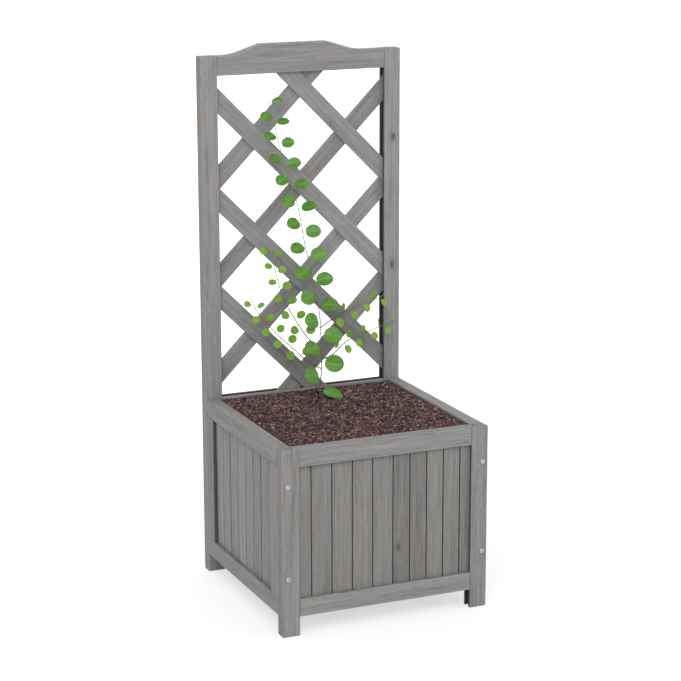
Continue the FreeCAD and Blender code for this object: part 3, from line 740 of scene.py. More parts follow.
@dataclass(frozen=True)
class Corner:
    """A corner of a section: its place, its rounding, and the painted shade of the side after it."""

    u: float
    v: float
    radius: float
    shade: float = 0.0


@dataclass(frozen=True)
class Spot:
    """A point of a swept section with its outward direction, edge wear and painted shade."""

    u: float
    v: float
    normal: tuple[float, float]
    edge: float
    shade: float


@dataclass(frozen=True)
class Section:
    """A closed section, anticlockwise, whose corners are rounded."""

    corners: tuple[Corner, ...]
    band: float = 0.0026
    fine_radius: float = 0.001

    def spots(self) -> list[Spot]:
        """The section's points: each corner's arc, and two points in from each end of a long side.

        Returns:
            The points in order round the section.
        """
        made: list[Spot] = []
        places = [Vector((corner.u, corner.v)) for corner in self.corners]
        count = len(places)
        ways = [(places[(i + 1) % count] - here).normalized() for i, here in enumerate(places)]
        for i, corner in enumerate(self.corners):
            here, arrive, leave, after = places[i], ways[i - 1], ways[i], (i + 1) % count
            made += self._arc(here, arrive, leave, corner, self.corners[i - 1].shade)
            reach = (places[after] - here).length
            first = self._cut(arrive, leave, corner.radius) + self.band
            last = reach - self._cut(leave, ways[after], self.corners[after].radius) - self.band
            if last > first:
                for distance in (first, last):
                    point = here + leave * distance
                    made.append(Spot(point.x, point.y, (leave.y, -leave.x), 1.0, corner.shade))
        return made

    @staticmethod
    def _cut(arrive: Vector, leave: Vector, radius: float) -> float:
        """How far from a corner its rounding begins."""
        turn = abs(arrive.angle_signed(leave))
        return radius * math.tan(turn / 2)

    def _arc(self, here: Vector, arrive: Vector, leave: Vector, corner: Corner,
             shade_before: float) -> list[Spot]:
        """The points of one rounded corner.

        Args:
            here: The sharp corner.
            arrive: The direction of the side before it.
            leave: The direction of the side after it.
            corner: The corner.
            shade_before: The painted shade of the side before it.

        Returns:
            The arc's points.
        """
        cut = self._cut(arrive, leave, corner.radius)
        start, end = here - arrive * cut, here + leave * cut
        steps = 4 if corner.radius > self.fine_radius else 2
        spots = []
        for k in range(steps + 1):
            share = k / steps
            point = start.lerp(here, share).lerp(here.lerp(end, share), share)
            direction = arrive.lerp(leave, share).normalized()
            # The painted shade blends from the side before to the side after.
            shade = shade_before + (corner.shade - shade_before) * share
            spots.append(Spot(point.x, point.y, (direction.y, -direction.x), 0.0, shade))
        return spots


def rectangle(low: tuple[float, float], high: tuple[float, float], arris: float,
              band: float = Section.band) -> Section:
    """A rectangular section.

    Args:
        low: Its lowest corner.
        high: Its highest corner.
        arris: The rounding of its corners.
        band: How wide the worn band along each corner is.

    Returns:
        The section.
    """
    places = (low, (high[0], low[1]), high, (low[0], high[1]))
    return Section(tuple(Corner(u, v, arris) for u, v in places), band)


class Axis(Enum):
    """Which way a member runs in its wall: upright, or along the wall."""

    UP = "up"
    ALONG = "along"


@dataclass(frozen=True)
class Wall:
    """One side of the box. Its own frame is x along it, y inwards from its outer face, z up."""

    angle: float
    face: float

    def matrix(self) -> Matrix:
        """The wall's frame in the object's.

        Returns:
            The matrix from the wall's frame.
        """
        turn = Matrix.Rotation(math.radians(self.angle), 4, "Z")
        inwards = turn @ Vector((0.0, 1.0, 0.0))
        return Matrix.Translation(inwards * -self.face) @ turn


@dataclass
class Member:
    """A straight wooden member swept from its section, with eased ends."""

    name: str
    section: Callable[[float], Section]
    axis: Axis
    start: float
    end: float
    seed: int
    ease: float = 0.0005
    # Painted shade on the end rings, so that the joint lines between members read dark.
    end_shade: float = 0.55
    step: float = 0.016
    wobble: float = 0.00016
    extra_stations: tuple[float, ...] = ()

    def _stations(self) -> list[float]:
        """Where the rings stand along the member.

        Returns:
            The rings' places, from the start to the end.
        """
        count = max(2, round((self.end - self.start) / self.step))
        even = [self.start + (self.end - self.start) * i / count for i in range(count + 1)]
        inner = [s for s in even[1:-1] if all(abs(s - e) > self.step / 3 for e in self.extra_stations)]
        near = [self.start + self.ease, self.end - self.ease]
        return sorted([self.start, self.end, *near, *inner, *self.extra_stations])

    def mesh(self) -> Mesh:
        """Sweeps the member in its wall's frame.

        Returns:
            The mesh with its grain, edge, painted shade and tone attributes.
        """
        dice = random.Random(self.seed)
        slide = Vector((dice.uniform(0, 5), dice.uniform(0, 1), dice.uniform(0, 1)))
        tone = dice.uniform(-1, 1)
        points, grains, edges, shades = [], [], [], []
        stations = self._stations()

        def ring(station: float, inset: float, shade: float) -> None:
            """Adds one ring of the section, drawn in by inset; an end's painted shade covers the groove's.

            Args:
                station: Its place along the member.
                inset: How far it is drawn in.
                shade: The painted shade of an end, or 0 for the section's own painted shades.
            """
            for spot in self.section(station).spots():
                worn = noise.noise(Vector((spot.u * 60, spot.v * 60, station * 22)) + slide)
                depth = inset + self.wobble * (1.0 + min(1.0, max(-1.0, worn)))
                u = spot.u - spot.normal[0] * depth
                v = spot.v - spot.normal[1] * depth
                points.append(self._place(station, u, v))
                grains.append(Vector((station, u, v)) + slide)
                edges.append(spot.edge)
                # Each point keeps the painted shade of its end ring or of its side of the section.
                shades.append(shade if shade > 0 else spot.shade)

        for station in stations:
            at_end = station in (self.start, self.end)
            ring(station, self.ease if at_end else 0.0, self.end_shade if at_end else 0.0)

        count = len(points) // len(stations)
        faces = tube_faces(len(stations), count)
        for first in (0, len(points) - count):
            cap = tessellate_polygon([points[first:first + count]])
            faces += [[first + i for i in corners] for corners in cap]
        mesh = new_mesh(self.name, points, faces, grain=grains, edge=edges, shade=shades,
                        tone=[tone] * len(points))
        set_outwards(mesh)
        return mesh

    def _place(self, station: float, u: float, v: float) -> Vector:
        """A section's point in the wall's frame.

        Args:
            station: How far along the member.
            u: The section's first measure.
            v: The section's second measure.

        Returns:
            The point.
        """
        if self.axis is Axis.UP:
            return Vector((u, v, station))
        return Vector((station, u, v))


def set_outwards(mesh: Mesh) -> None:
    """Turns every face outwards and shades the mesh smooth where it bends gently.

    Args:
        mesh: A closed mesh.
    """
    work = bmesh.new()
    work.from_mesh(mesh)
    bmesh.ops.recalc_face_normals(work, faces=work.faces)
    for face in work.faces:
        face.smooth = True
    for edge in work.edges:
        edge.smooth = edge.calc_face_angle(math.pi) < math.radians(40)
    work.to_mesh(mesh)
    work.free()


def joined(name: str, meshes: Sequence[Mesh], material: Material) -> Object:
    """Joins finished meshes into one piece with one material.

    Args:
        name: The piece's name.
        meshes: The meshes, in the object's frame.
        material: Their material.

    Returns:
        The piece.
    """
    work = bmesh.new()
    for mesh in meshes:
        work.from_mesh(mesh)
    whole = bpy.data.meshes.new(name)
    work.to_mesh(whole)
    work.free()
    whole.materials.clear()
    whole.materials.append(material)
    for mesh in meshes:
        bpy.data.meshes.remove(mesh)
    return link(name, whole)


# ---------------------------------------------------------------- the frame


@dataclass(frozen=True)
class Stock:
    """The frame's stock with its milled groove."""

    width: float = 0.033
    thickness: float = 0.024
    lip: float = 0.007
    groove_width: float = 0.011
    groove_depth: float = 0.010
    tenon: float = 0.0085
    fit: float = 0.0003
    crisp: float = 0.0011
    arris: float = 0.0015
    small_arris: float = 0.0008
    # Painted shade on the lips' inner sides and inside the groove, where the recess lies in shadow.
    lip_shade: float = 0.80
    groove_shade: float = 0.97

    @property
    def groove_back(self) -> float:
        """How far in the groove's far side lies."""
        return self.lip + self.groove_width

    def upright(self, along: float, groove_right: bool) -> Section:
        """The section of a leg, post or stile whose left edge stands at along.

        Args:
            along: The place of its left edge in the wall.
            groove_right: Whether the groove is in its right edge.

        Returns:
            The section, x along the wall and y inwards.
        """
        w, t, r = self.width, self.thickness, self.arris
        floor = w - self.groove_depth
        outline = [(0, 0, r, 0), (w, 0, r, self.lip_shade), (w, self.lip, 0, self.groove_shade),
                   (floor, self.lip, 0, self.groove_shade), (floor, self.groove_back, 0, self.groove_shade),
                   (w, self.groove_back, 0, self.lip_shade), (w, t, r, 0), (0, t, r, 0)]
        if not groove_right:
            shades = [point[3] for point in outline]
            turned = [(w - x, y, radius, 0) for x, y, radius, _ in reversed(outline)]
            sides = list(reversed(shades[:-1])) + [shades[-1]]
            outline = [(x, y, radius, shade) for (x, y, radius, _), shade in zip(turned, sides)]
        return Section(tuple(Corner(along + x, y, max(radius, self.crisp), shade)
                             for x, y, radius, shade in outline))

    def rail(self, base: float, height: float, below: bool, above: bool) -> Section:
        """The section of a rail that stands at base.

        Args:
            base: The height of its lower edge.
            height: Its height.
            below: Whether its lower edge is grooved.
            above: Whether its upper edge is grooved.

        Returns:
            The section, x inwards and y up.
        """
        t, r, depth = self.thickness, self.arris, self.groove_depth
        # dark is the groove's painted shade; 0.25 below is painted shade on the lips' top faces beside an
        # upper groove.
        lip, back, dark = self.lip, self.groove_back, self.groove_shade
        low = [(0, 0, r, self.lip_shade), (lip, 0, 0, dark), (lip, depth, 0, dark),
               (back, depth, 0, dark), (back, 0, 0, self.lip_shade)] if below else [(0, 0, r, 0)]
        top = height - depth
        high = [(back, height, 0, dark), (back, top, 0, dark), (lip, top, 0, dark),
                (lip, height, 0, 0.25)] if above else []
        outline = low + [(t, 0, r, 0), (t, height, r, 0.25 if above else 0)] + high + [(0, height, r, 0)]
        return Section(tuple(Corner(x, base + y, max(radius, self.crisp), shade)
                             for x, y, radius, shade in outline))

    def plain(self, low: tuple[float, float], high: tuple[float, float]) -> Section:
        """A rectangular section with small arrises between two corners."""
        return rectangle(low, high, self.small_arris)


def span(node: str) -> tuple[Vector, Vector]:
    """The lowest and highest corner of a CAD node."""
    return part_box(node)


def slat_spacing(rows: int, head: float = 0.0018) -> float:
    """The height between neighbouring crossings, from the nails' highest and lowest head."""
    low, high = span("lattice_nails")
    return (high.z - low.z - 2 * head) / rows


class Planter:
    """The walls, posts, rails and base of the box and of the trellis's frame."""

    # Painted shade on the seen tops of posts and legs, lighter than at the joints, and on the tenons' ends.
    FREE_TOP_SHADE = 0.12
    FREE_TOP_EASE = 0.0008
    TENON_SHADE = 0.2
    BASE_BOARDS = 5
    BASE_GAP = 0.004

    def __init__(self, stock: Stock) -> None:
        """Reads the main sizes from the CAD nodes.

        Args:
            stock: The frame's stock.
        """
        self.stock = stock
        low, high = span("leg_front_left")
        self.half_width = -low.x
        self.half_depth = -low.y
        self.box_top = high.z
        self.rail_base = span("front_bottom_rail")[0].z
        self.top_rail_base = span("front_top_rail")[0].z
        self.post_top = span("rear_post_left")[1].z
        self.crown_top = span("trellis_top_rail")[1].z
        self.inner = self.half_width - stock.width
        self.side_half = self.half_depth - stock.thickness
        self.walls = {
            "front": Wall(0, self.half_depth),
            "rear": Wall(0, stock.thickness - self.half_depth),
            "left": Wall(-90, self.half_width),
            "right": Wall(90, self.half_width),
        }

    def _post(self, name: str, wall: str, along: float, low: float, high: float, groove_right: bool,
              seed: int, finish: Material, free_top: bool = False) -> None:
        """Builds one upright and mounts it.

        Args:
            name: The CAD node's name.
            wall: The wall it stands in.
            along: The place of its left edge.
            low: Its foot's height.
            high: Its top's height.
            groove_right: Whether its right edge is grooved.
            seed: The seed of its grain.
            finish: The glazed wood.
            free_top: Whether its top end is seen.
        """
        member = Member(name, lambda _: self.stock.upright(along, groove_right), Axis.UP, low, high, seed)
        if free_top:
            member.end_shade = self.FREE_TOP_SHADE
            member.ease = self.FREE_TOP_EASE
        self._mount(member, wall, finish)

    def _rail(self, name: str, wall: str, half: float, base: float, below: bool, above: bool,
              seed: int, finish: Material) -> None:
        """Builds one rail and mounts it.

        Args:
            name: The CAD node's name.
            wall: The wall it lies in.
            half: Half its length.
            base: The height of its lower edge.
            below: Whether its lower edge is grooved.
            above: Whether its upper edge is grooved.
            seed: The seed of its grain.
            finish: The glazed wood.
        """
        section = self.stock.rail(base, self.stock.width, below, above)
        member = Member(name, lambda _: section, Axis.ALONG, -half, half, seed)
        tenons = (base + self.stock.groove_depth * below,
                  base + self.stock.width - self.stock.groove_depth * above) if half == self.inner else None
        self._mount(member, wall, finish, tenons)

    def _mount(self, member: Member, wall: str, finish: Material,
               tenons: Optional[tuple[float, float]] = None) -> None:
        """Turns a member with its wall and mounts it, with tenons between two heights at its ends.

        Args:
            member: The member, in its wall's frame.
            wall: The wall's name.
            finish: The glazed wood.
            tenons: The heights that its end tenons lie between.
        """
        meshes = [member.mesh()]
        if tenons:
            section = self.stock.plain((self.stock.lip + self.stock.fit, tenons[0]),
                                       (self.stock.groove_back - self.stock.fit, tenons[1]))
            for start, end in ((member.start - self.stock.tenon, member.start),
                               (member.end, member.end + self.stock.tenon)):
                tenon = Member("tenon", lambda _: section, Axis.ALONG, start, end, member.seed + 50)
                tenon.end_shade = self.TENON_SHADE
                meshes.append(tenon.mesh())
        for mesh in meshes:
            mesh.transform(self.walls[wall].matrix())
        mount_piece(joined(f"wood_{member.name}", meshes, finish), "frame_wood", member.name)

    def frames(self, finish: Material) -> None:
        """Builds the legs, stiles, posts and rails of the four walls.

        Args:
            finish: The glazed wood.
        """
        low, high = self.rail_base, self.top_rail_base
        for wall, name, top, seed in (("front", "leg_front", self.box_top, 11),
                                      ("rear", "rear_post", self.post_top, 13)):
            self._post(f"{name}_left", wall, -self.half_width, 0, top, True, seed, finish, True)
            self._post(f"{name}_right", wall, self.inner, 0, top, False, seed + 1, finish, True)
        self._rail("front_top_rail", "front", self.inner, high, True, False, 21, finish)
        self._rail("front_bottom_rail", "front", self.inner, low, False, True, 22, finish)
        self._rail("rear_bottom_rail", "rear", self.inner, low, False, True, 23, finish)
        self._rail("trellis_mid_rail", "rear", self.inner, high, True, True, 24, finish)
        width, half = self.stock.width, self.side_half
        for side, first, second, seed in (("left", "rear", "front", 30), ("right", "front", "rear", 40)):
            self._rail(f"{side}_top_rail", side, half, high, True, False, seed + 1, finish)
            self._rail(f"{side}_bottom_rail", side, half, low, False, True, seed + 2, finish)
            self._post(f"{side}_{first}_stile", side, -half, low + width, high, True, seed + 3, finish)
            self._post(f"{side}_{second}_stile", side, half - width, low + width, high, False,
                       seed + 4, finish)

    def crowned_rail(self, finish: Material, flat: float = 0.132, slope: float = 17.4,
                     radius: float = 0.098, middle: float = -0.0125) -> None:
        """Builds the trellis's top rail with its raised crown.

        Args:
            finish: The glazed wood.
            flat: The length of the crown's flat top.
            slope: The fall of its shoulders, in degrees.
            radius: The radius of the hollow where a shoulder meets the straight edge.
            middle: The place of the crown's middle along the rail.
        """
        base = span("trellis_top_rail")[0].z
        plain_height = self.post_top - base
        rise = self.crown_top - self.post_top
        fall = math.radians(slope)
        foot = flat / 2 + rise / math.tan(fall)
        reach = radius * math.tan(fall / 2)
        blend_start, blend_end = foot - reach * math.cos(fall), foot + reach

        def section(station: float) -> Section:
            """The rail's section at a place along it.

            Args:
                station: The place along it.

            Returns:
                The section.
            """
            away = abs(station - middle)
            if away <= flat / 2:
                lift = rise
            elif away <= blend_start:
                lift = rise - (away - flat / 2) * math.tan(fall)
            elif away < blend_end:
                lift = radius - math.sqrt(radius ** 2 - (blend_end - away) ** 2)
            else:
                lift = 0.0
            return self.stock.rail(base, plain_height + lift, True, False)

        turns = [flat / 2, blend_start, (blend_start + blend_end) / 2, blend_end]
        stations = tuple(sorted(middle + side * turn for side in (-1, 1) for turn in turns))
        member = Member("trellis_top_rail", section, Axis.ALONG, -self.inner, self.inner, 25, step=0.008,
                        extra_stations=stations)
        self._mount(member, "rear", finish, (base + self.stock.groove_depth, self.post_top))

    def base(self, finish: Material) -> None:
        """Builds the two cleats and the five base boards.

        Args:
            finish: The base's wood.
        """
        stock = self.stock
        low, high = span("base_cleats")
        cleat = high.z - low.z
        cleats = []
        for number, side in enumerate(("left", "right")):
            section = stock.plain((stock.thickness, low.z), (stock.thickness + cleat, high.z))
            member = Member(f"{side}_cleat", lambda _, s=section: s, Axis.ALONG, -self.side_half,
                            self.side_half, 60 + number)
            mesh = member.mesh()
            mesh.transform(self.walls[side].matrix())
            cleats.append(mesh)
        mount_piece(joined("wood_base_cleats", cleats, finish), "base_wood", "base_cleats")
        low, high = span("base_boards")
        width = (high.y - low.y - self.BASE_GAP * (self.BASE_BOARDS - 1)) / self.BASE_BOARDS
        boards = []
        for i in range(self.BASE_BOARDS):
            start = low.y + (width + self.BASE_GAP) * i
            section = stock.plain((start, low.z), (start + width, high.z))
            member = Member(f"base_board_{i}", lambda _, s=section: s, Axis.ALONG, low.x, high.x, 70 + i)
            boards.append(member.mesh())
        mount_piece(joined("wood_base_boards", boards, finish), "base_wood", "base_boards")


# ---------------------------------------------------------------- boards


@dataclass(frozen=True)
class BoardStock:
    """The tongue-and-groove boards of the walls."""

    thickness: float = 0.0104
    gap: float = 0.0005
    chamfer: float = 0.0012
    tongue: float = 0.004
    tongue_thickness: float = 0.0034
    clearance: float = 0.0003
    inset: float = 0.0073
    # Painted shade on the seam's chamfers, where the joint between boards lies in shadow.
    seam_shade: float = 0.97
    least: float = 0.012
    band: float = 0.0022
    rows: int = 22

    def blank(self) -> Object:
        """A board of no width and unit length.

        Each point's side is 0 at the left edge and 1 at the right; its reach is its distance
        from that edge.

        Returns:
            A helper object for the row's tree, which the caller removes.
        """
        c, t, seam, band = self.chamfer, self.thickness, self.seam_shade, self.band
        low = (t - self.tongue_thickness) / 2
        high = (t + self.tongue_thickness) / 2
        slot = self.tongue + self.clearance
        # The last number of each profile point is its painted shade: dark on the seam's chamfers and on the
        # tongue and groove, half on the ends.
        profile = [
            (0, c + band, 0, 1, 0), (1, -c - band, 0, 1, 0), (1, -c, 0.00006, 0, 0.10),
            (1, -c * 0.55, c * 0.28, 0, seam * 0.75), (1, 0, c, 0, seam), (1, 0, low, 0, 1),
            (1, self.tongue, low, 0, 1), (1, self.tongue, high, 0, 1), (1, 0, high, 0, 1),
            (1, 0, t, 0, 0.5), (1, -band, t, 1, 0), (0, band, t, 1, 0), (0, 0, t, 0, 0.5),
            (0, 0, high + self.clearance, 0, 1), (0, slot, high + self.clearance, 0, 1),
            (0, slot, low - self.clearance, 0, 1), (0, 0, low - self.clearance, 0, 1),
            (0, 0, c, 0, seam), (0, c * 0.55, c * 0.28, 0, seam * 0.75), (0, c, 0.00006, 0, 0.10),
        ]
        rings = self.rows + 1
        points = [(0.0, p[2], row / self.rows) for row in range(rings) for p in profile]
        faces = tube_faces(rings, len(profile)) + tube_ends(rings, len(profile))
        values = {label: [p[number] for p in profile] * rings
                  for label, number in (("side", 0), ("reach", 1), ("edge", 3), ("shade", 4))}
        return link("board_blank", new_mesh("board_blank", points, faces, **values))


@dataclass(frozen=True)
class BoardLayout:
    """How boards share a wall's width: the first one's visible width, how many broad ones follow
    it, and the width of those after them."""

    first: float
    broad_count: int
    narrow: float


BROAD_BOARD = 0.0394


class BoardRows:
    """The boards between the grooved members of each wall, grown by one tree."""

    INPUTS = [
        ("Blank", "NodeSocketObject", None),
        ("Count", "NodeSocketInt", 10),
        ("First", "NodeSocketFloat", 0.025),
        ("Broad Count", "NodeSocketFloat", 4.0),
        ("Broad", "NodeSocketFloat", BROAD_BOARD),
        ("Narrow", "NodeSocketFloat", 0.033),
        ("Clear", "NodeSocketFloat", 0.334),
        ("Engagement", "NodeSocketFloat", 0.009),
        ("Gap", "NodeSocketFloat", 0.0005),
        ("Tongue", "NodeSocketFloat", 0.004),
        ("Inset", "NodeSocketFloat", 0.0073),
        ("Low", "NodeSocketFloat", 0.059),
        ("High", "NodeSocketFloat", 0.318),
        ("Seed", "NodeSocketInt", 1),
    ]

    def __init__(self, stock: BoardStock, finish: Material) -> None:
        """Builds the tree.

        Args:
            stock: The boards' sizes.
            finish: Their glazed wood.
        """
        self.stock = stock
        graph = GeometryGraph("board_row", self.INPUTS)
        self.graph = graph
        count, clear = graph.given("Count"), graph.given("Clear")
        index = graph.node("GeometryNodeInputIndex")

        def joint(number: Operand) -> Socket:
            """Where a joint stands, from the clear width's left.

            Args:
                number: The joint's number, from 0.

            Returns:
                Its place.
            """
            broad = number.least(graph.given("Broad Count"))
            rest = (number - graph.given("Broad Count")).most(0.0)
            return graph.given("First") + broad * graph.given("Broad") + rest * graph.given("Narrow")

        left = self._unless(index, 0, joint(index - 1.0) + graph.given("Gap") * 0.5,
                            graph.given("Engagement") * -1.0)
        right = self._unless(index, count - 1.0, joint(index) - graph.given("Gap") * 0.5,
                             clear + graph.given("Engagement") - graph.given("Tongue"))
        seed = graph.given("Seed")
        points = graph.node("GeometryNodeMeshLine", None, {"Count": count, "Offset": (0.0, 0.0, 0.0)})
        points = graph.store(points, "left", left - clear * 0.5)
        points = graph.store(points, "right", right - clear * 0.5)
        points = graph.store(points, "tone", graph.chance(-1.0, 1.0, seed))
        points = graph.store(points, "sink", graph.chance(-0.00025, 0.00025, seed + 7.0))
        points = graph.store(points, "slide", graph.chance(0.0, 9.0, seed + 3.0))
        rows = graph.real(graph.instances(points, graph.shape("Blank")))
        place = graph.node("GeometryNodeInputPosition")
        side, reach = graph.named("side"), graph.named("reach")
        across = graph.named("left") + side * (graph.named("right") - graph.named("left")) + reach
        depth = graph.given("Inset") + place.part(1) + graph.named("sink")
        height = graph.given("Low") + place.part(2) * (graph.given("High") - graph.given("Low"))
        spot = graph.combine(across, depth, height)
        wander = graph.node("ShaderNodeTexNoise", None,
                            {"Vector": spot * (60.0, 60.0, 9.0), "Scale": 1.0, "Detail": 1.0},
                            output="Color")
        spot = spot + (wander - (0.5, 0.5, 0.5)) * (0.0004, 0.0002, 0.0)
        rows = graph.moved(rows, Position=spot)
        place, slide = graph.node("GeometryNodeInputPosition"), graph.named("slide")
        grain = graph.combine(place.part(2) + slide, place.part(0) - graph.named("left"),
                              place.part(1) + slide * 0.37)
        rows = graph.store(rows, "grain", grain, "FLOAT_VECTOR")
        graph.finish(rows, finish)

    def _unless(self, index: Socket, number: Operand, usual: Operand, special: Operand) -> Socket:
        """The usual value for every board but the one of that number, which has the special one.

        Args:
            index: The board's number.
            number: The special board's number.
            usual: The usual value.
            special: The special board's value.

        Returns:
            The value.
        """
        same = self.graph.node("FunctionNodeCompare", {"data_type": "INT", "operation": "EQUAL"},
                               {2: index, 3: number})
        return self.graph.node("GeometryNodeSwitch", {"input_type": "FLOAT"},
                               {0: same, 1: usual, 2: special})

    def row(self, name: str, wall: Wall, clear: float, layout: BoardLayout,
            heights: tuple[float, float], seed: int, nodes: Sequence[str]) -> Object:
        """Grows one wall's boards.

        Args:
            name: The piece's name.
            wall: The wall.
            clear: The clear width between the grooved members.
            layout: How the boards share that width.
            heights: The lower and upper end of the boards.
            seed: The seed of their tones and small shifts.
            nodes: The CAD nodes that the boards stand for.

        Returns:
            The finished piece.
        """
        count, edge = 1, layout.first
        while edge <= clear - self.stock.least:
            edge += BROAD_BOARD if count <= layout.broad_count else layout.narrow
            count += 1
        blank = self.stock.blank()
        piece = self.graph.grow(name, {
            "Blank": blank, "Count": count, "First": layout.first, "Narrow": layout.narrow,
            "Broad Count": float(layout.broad_count), "Clear": clear, "Low": heights[0], "High": heights[1],
            "Gap": self.stock.gap, "Tongue": self.stock.tongue, "Inset": self.stock.inset, "Seed": seed,
        })
        bpy.data.objects.remove(blank)
        set_outwards(piece.data)
        piece.data.transform(wall.matrix())
        return mount_piece(piece, "board_wood", *nodes)


# ---------------------------------------------------------------- lattice


class Lattice:
    """Two crossed layers of slats, cut off inside the frame's groove."""

    WIDTH = 0.033
    ARRIS = 0.0007
    BAND = 0.0015
    WINDOW_DEPTH = 0.06
    INPUTS = [
        ("Strip", "NodeSocketObject", None),
        ("Count", "NodeSocketInt", 4),
        ("Top", "NodeSocketFloat", 0.914),
        ("Spacing", "NodeSocketFloat", 0.184),
        ("Angle", "NodeSocketFloat", math.radians(45)),
        ("Layer", "NodeSocketFloat", 0.18),
        ("Window Size", "NodeSocketVector", None),
        ("Window Centre", "NodeSocketVector", None),
        ("Seed", "NodeSocketInt", 1),
    ]

    def __init__(self, finish: Material) -> None:
        """Builds the slats' tree.

        Args:
            finish: The slats' glazed wood.
        """
        graph = GeometryGraph("slat_layer", self.INPUTS)
        self.graph = graph
        index = graph.node("GeometryNodeInputIndex")
        height = graph.given("Top") - index * graph.given("Spacing")
        points = graph.node("GeometryNodeMeshLine", None, {"Count": graph.given("Count")})
        points = graph.moved(points, Position=graph.combine(0.0, graph.given("Layer"), height))
        points = graph.store(points, "tone", graph.chance(-1.0, 1.0, graph.given("Seed")))
        points = graph.store(points, "slide", graph.chance(0.0, 9.0, graph.given("Seed") + 3.0))
        turn = graph.combine(y=graph.given("Angle"))
        slats = graph.real(graph.instances(points, graph.shape("Strip"), Rotation=turn))
        window = graph.node("GeometryNodeMeshCube", None, {"Size": graph.given("Window Size")})
        window = graph.node("GeometryNodeTransform", None,
                            {"Geometry": window, "Translation": graph.given("Window Centre")})
        cut = graph.add("GeometryNodeMeshBoolean", {"operation": "INTERSECT", "solver": "EXACT"})
        graph.feed(cut.inputs["Mesh 2"], window)
        graph.feed(cut.inputs["Mesh 2"], slats)
        slats = Socket(graph, cut.outputs["Mesh"])
        slide = graph.named("slide")
        grain = graph.named("grain", "FLOAT_VECTOR")
        offset = graph.combine(slide, slide * 0.31, slide * 0.17)
        slats = graph.store(slats, "grain", grain + offset, "FLOAT_VECTOR")
        graph.finish(slats, finish)

    @staticmethod
    def _strip(length: float, width: float, thickness: float) -> Object:
        """An uncut slat along X, its middle at the origin, the front of it towards -Y.

        Args:
            length: Its length.
            width: Its width.
            thickness: Its thickness.

        Returns:
            A helper object, which the caller removes.
        """
        section = rectangle((0, -width / 2), (thickness, width / 2), Lattice.ARRIS, Lattice.BAND)
        member = Member("strip", lambda _: section, Axis.ALONG, -length / 2, length / 2, 5, step=0.02)
        mesh = member.mesh()
        mesh.attributes.remove(mesh.attributes["tone"])
        return link("strip", mesh)

    def layer(self, name: str, nodes: Sequence[str], angle: float, seed: int,
              inner: float, heights: tuple[float, float], groove: float = 0.009) -> Object:
        """Grows one layer of parallel slats.

        Args:
            name: The piece's name.
            nodes: The layer's CAD nodes, from the top down.
            angle: The slats' turn about Y, in degrees.
            seed: The seed of their tones.
            inner: Half the clear width between the posts.
            heights: The edges of the rails that the slats run between.
            groove: How far a slat's end reaches into the groove.

        Returns:
            The finished piece.
        """
        low, high = span(nodes[0])
        thickness = high.y - low.y
        spacing = slat_spacing(len(nodes) - 1)
        middle = (heights[0] + heights[1]) / 2
        strip = self._strip(4 * inner, self.WIDTH, thickness)
        window = (2 * (inner + groove), self.WINDOW_DEPTH, heights[1] - heights[0] + 2 * groove)
        piece = self.graph.grow(name, {
            "Strip": strip, "Count": len(nodes), "Top": middle + spacing * (len(nodes) - 1) / 2,
            "Spacing": spacing, "Angle": math.radians(angle), "Layer": low.y,
            "Window Size": window, "Window Centre": (0.0, low.y, middle), "Seed": seed,
        })
        bpy.data.objects.remove(strip)
        return mount_piece(piece, "lattice_wood", *nodes)


# ---------------------------------------------------------------- fasteners


@dataclass(frozen=True)
class LathePoint:
    """A point of a turned profile: its radius, its height and its painted shade."""

    radius: float
    height: float
    shade: float = 0.0


def turned(name: str, profile: Sequence[LathePoint], sides: int = 24, flats: Sequence[int] = (),
           across: float = 0.0) -> Object:
    """A helper mesh turned about Z, closed at both ends.

    Args:
        name: Its name.
        profile: Its profile from the bottom to the top.
        sides: Its number of sides.
        flats: The numbers of the profile points that lie on a hexagon instead.
        across: The hexagon's width across flats.

    Returns:
        The helper object, which the caller removes.
    """
    points, shades = [], []
    for number, point in enumerate(profile):
        for i in range(sides):
            angle = 2 * math.pi * i / sides
            radius = point.radius
            if number in flats:
                off = (angle % (math.pi / 3)) - math.pi / 6
                radius = across / 2 / math.cos(off)
            points.append((radius * math.cos(angle), radius * math.sin(angle), point.height))
            shades.append(point.shade)
    faces = tube_faces(len(profile), sides) + tube_ends(len(profile), sides)
    mesh = new_mesh(name, points, faces, shade=shades)
    set_outwards(mesh)
    return link(name, mesh)


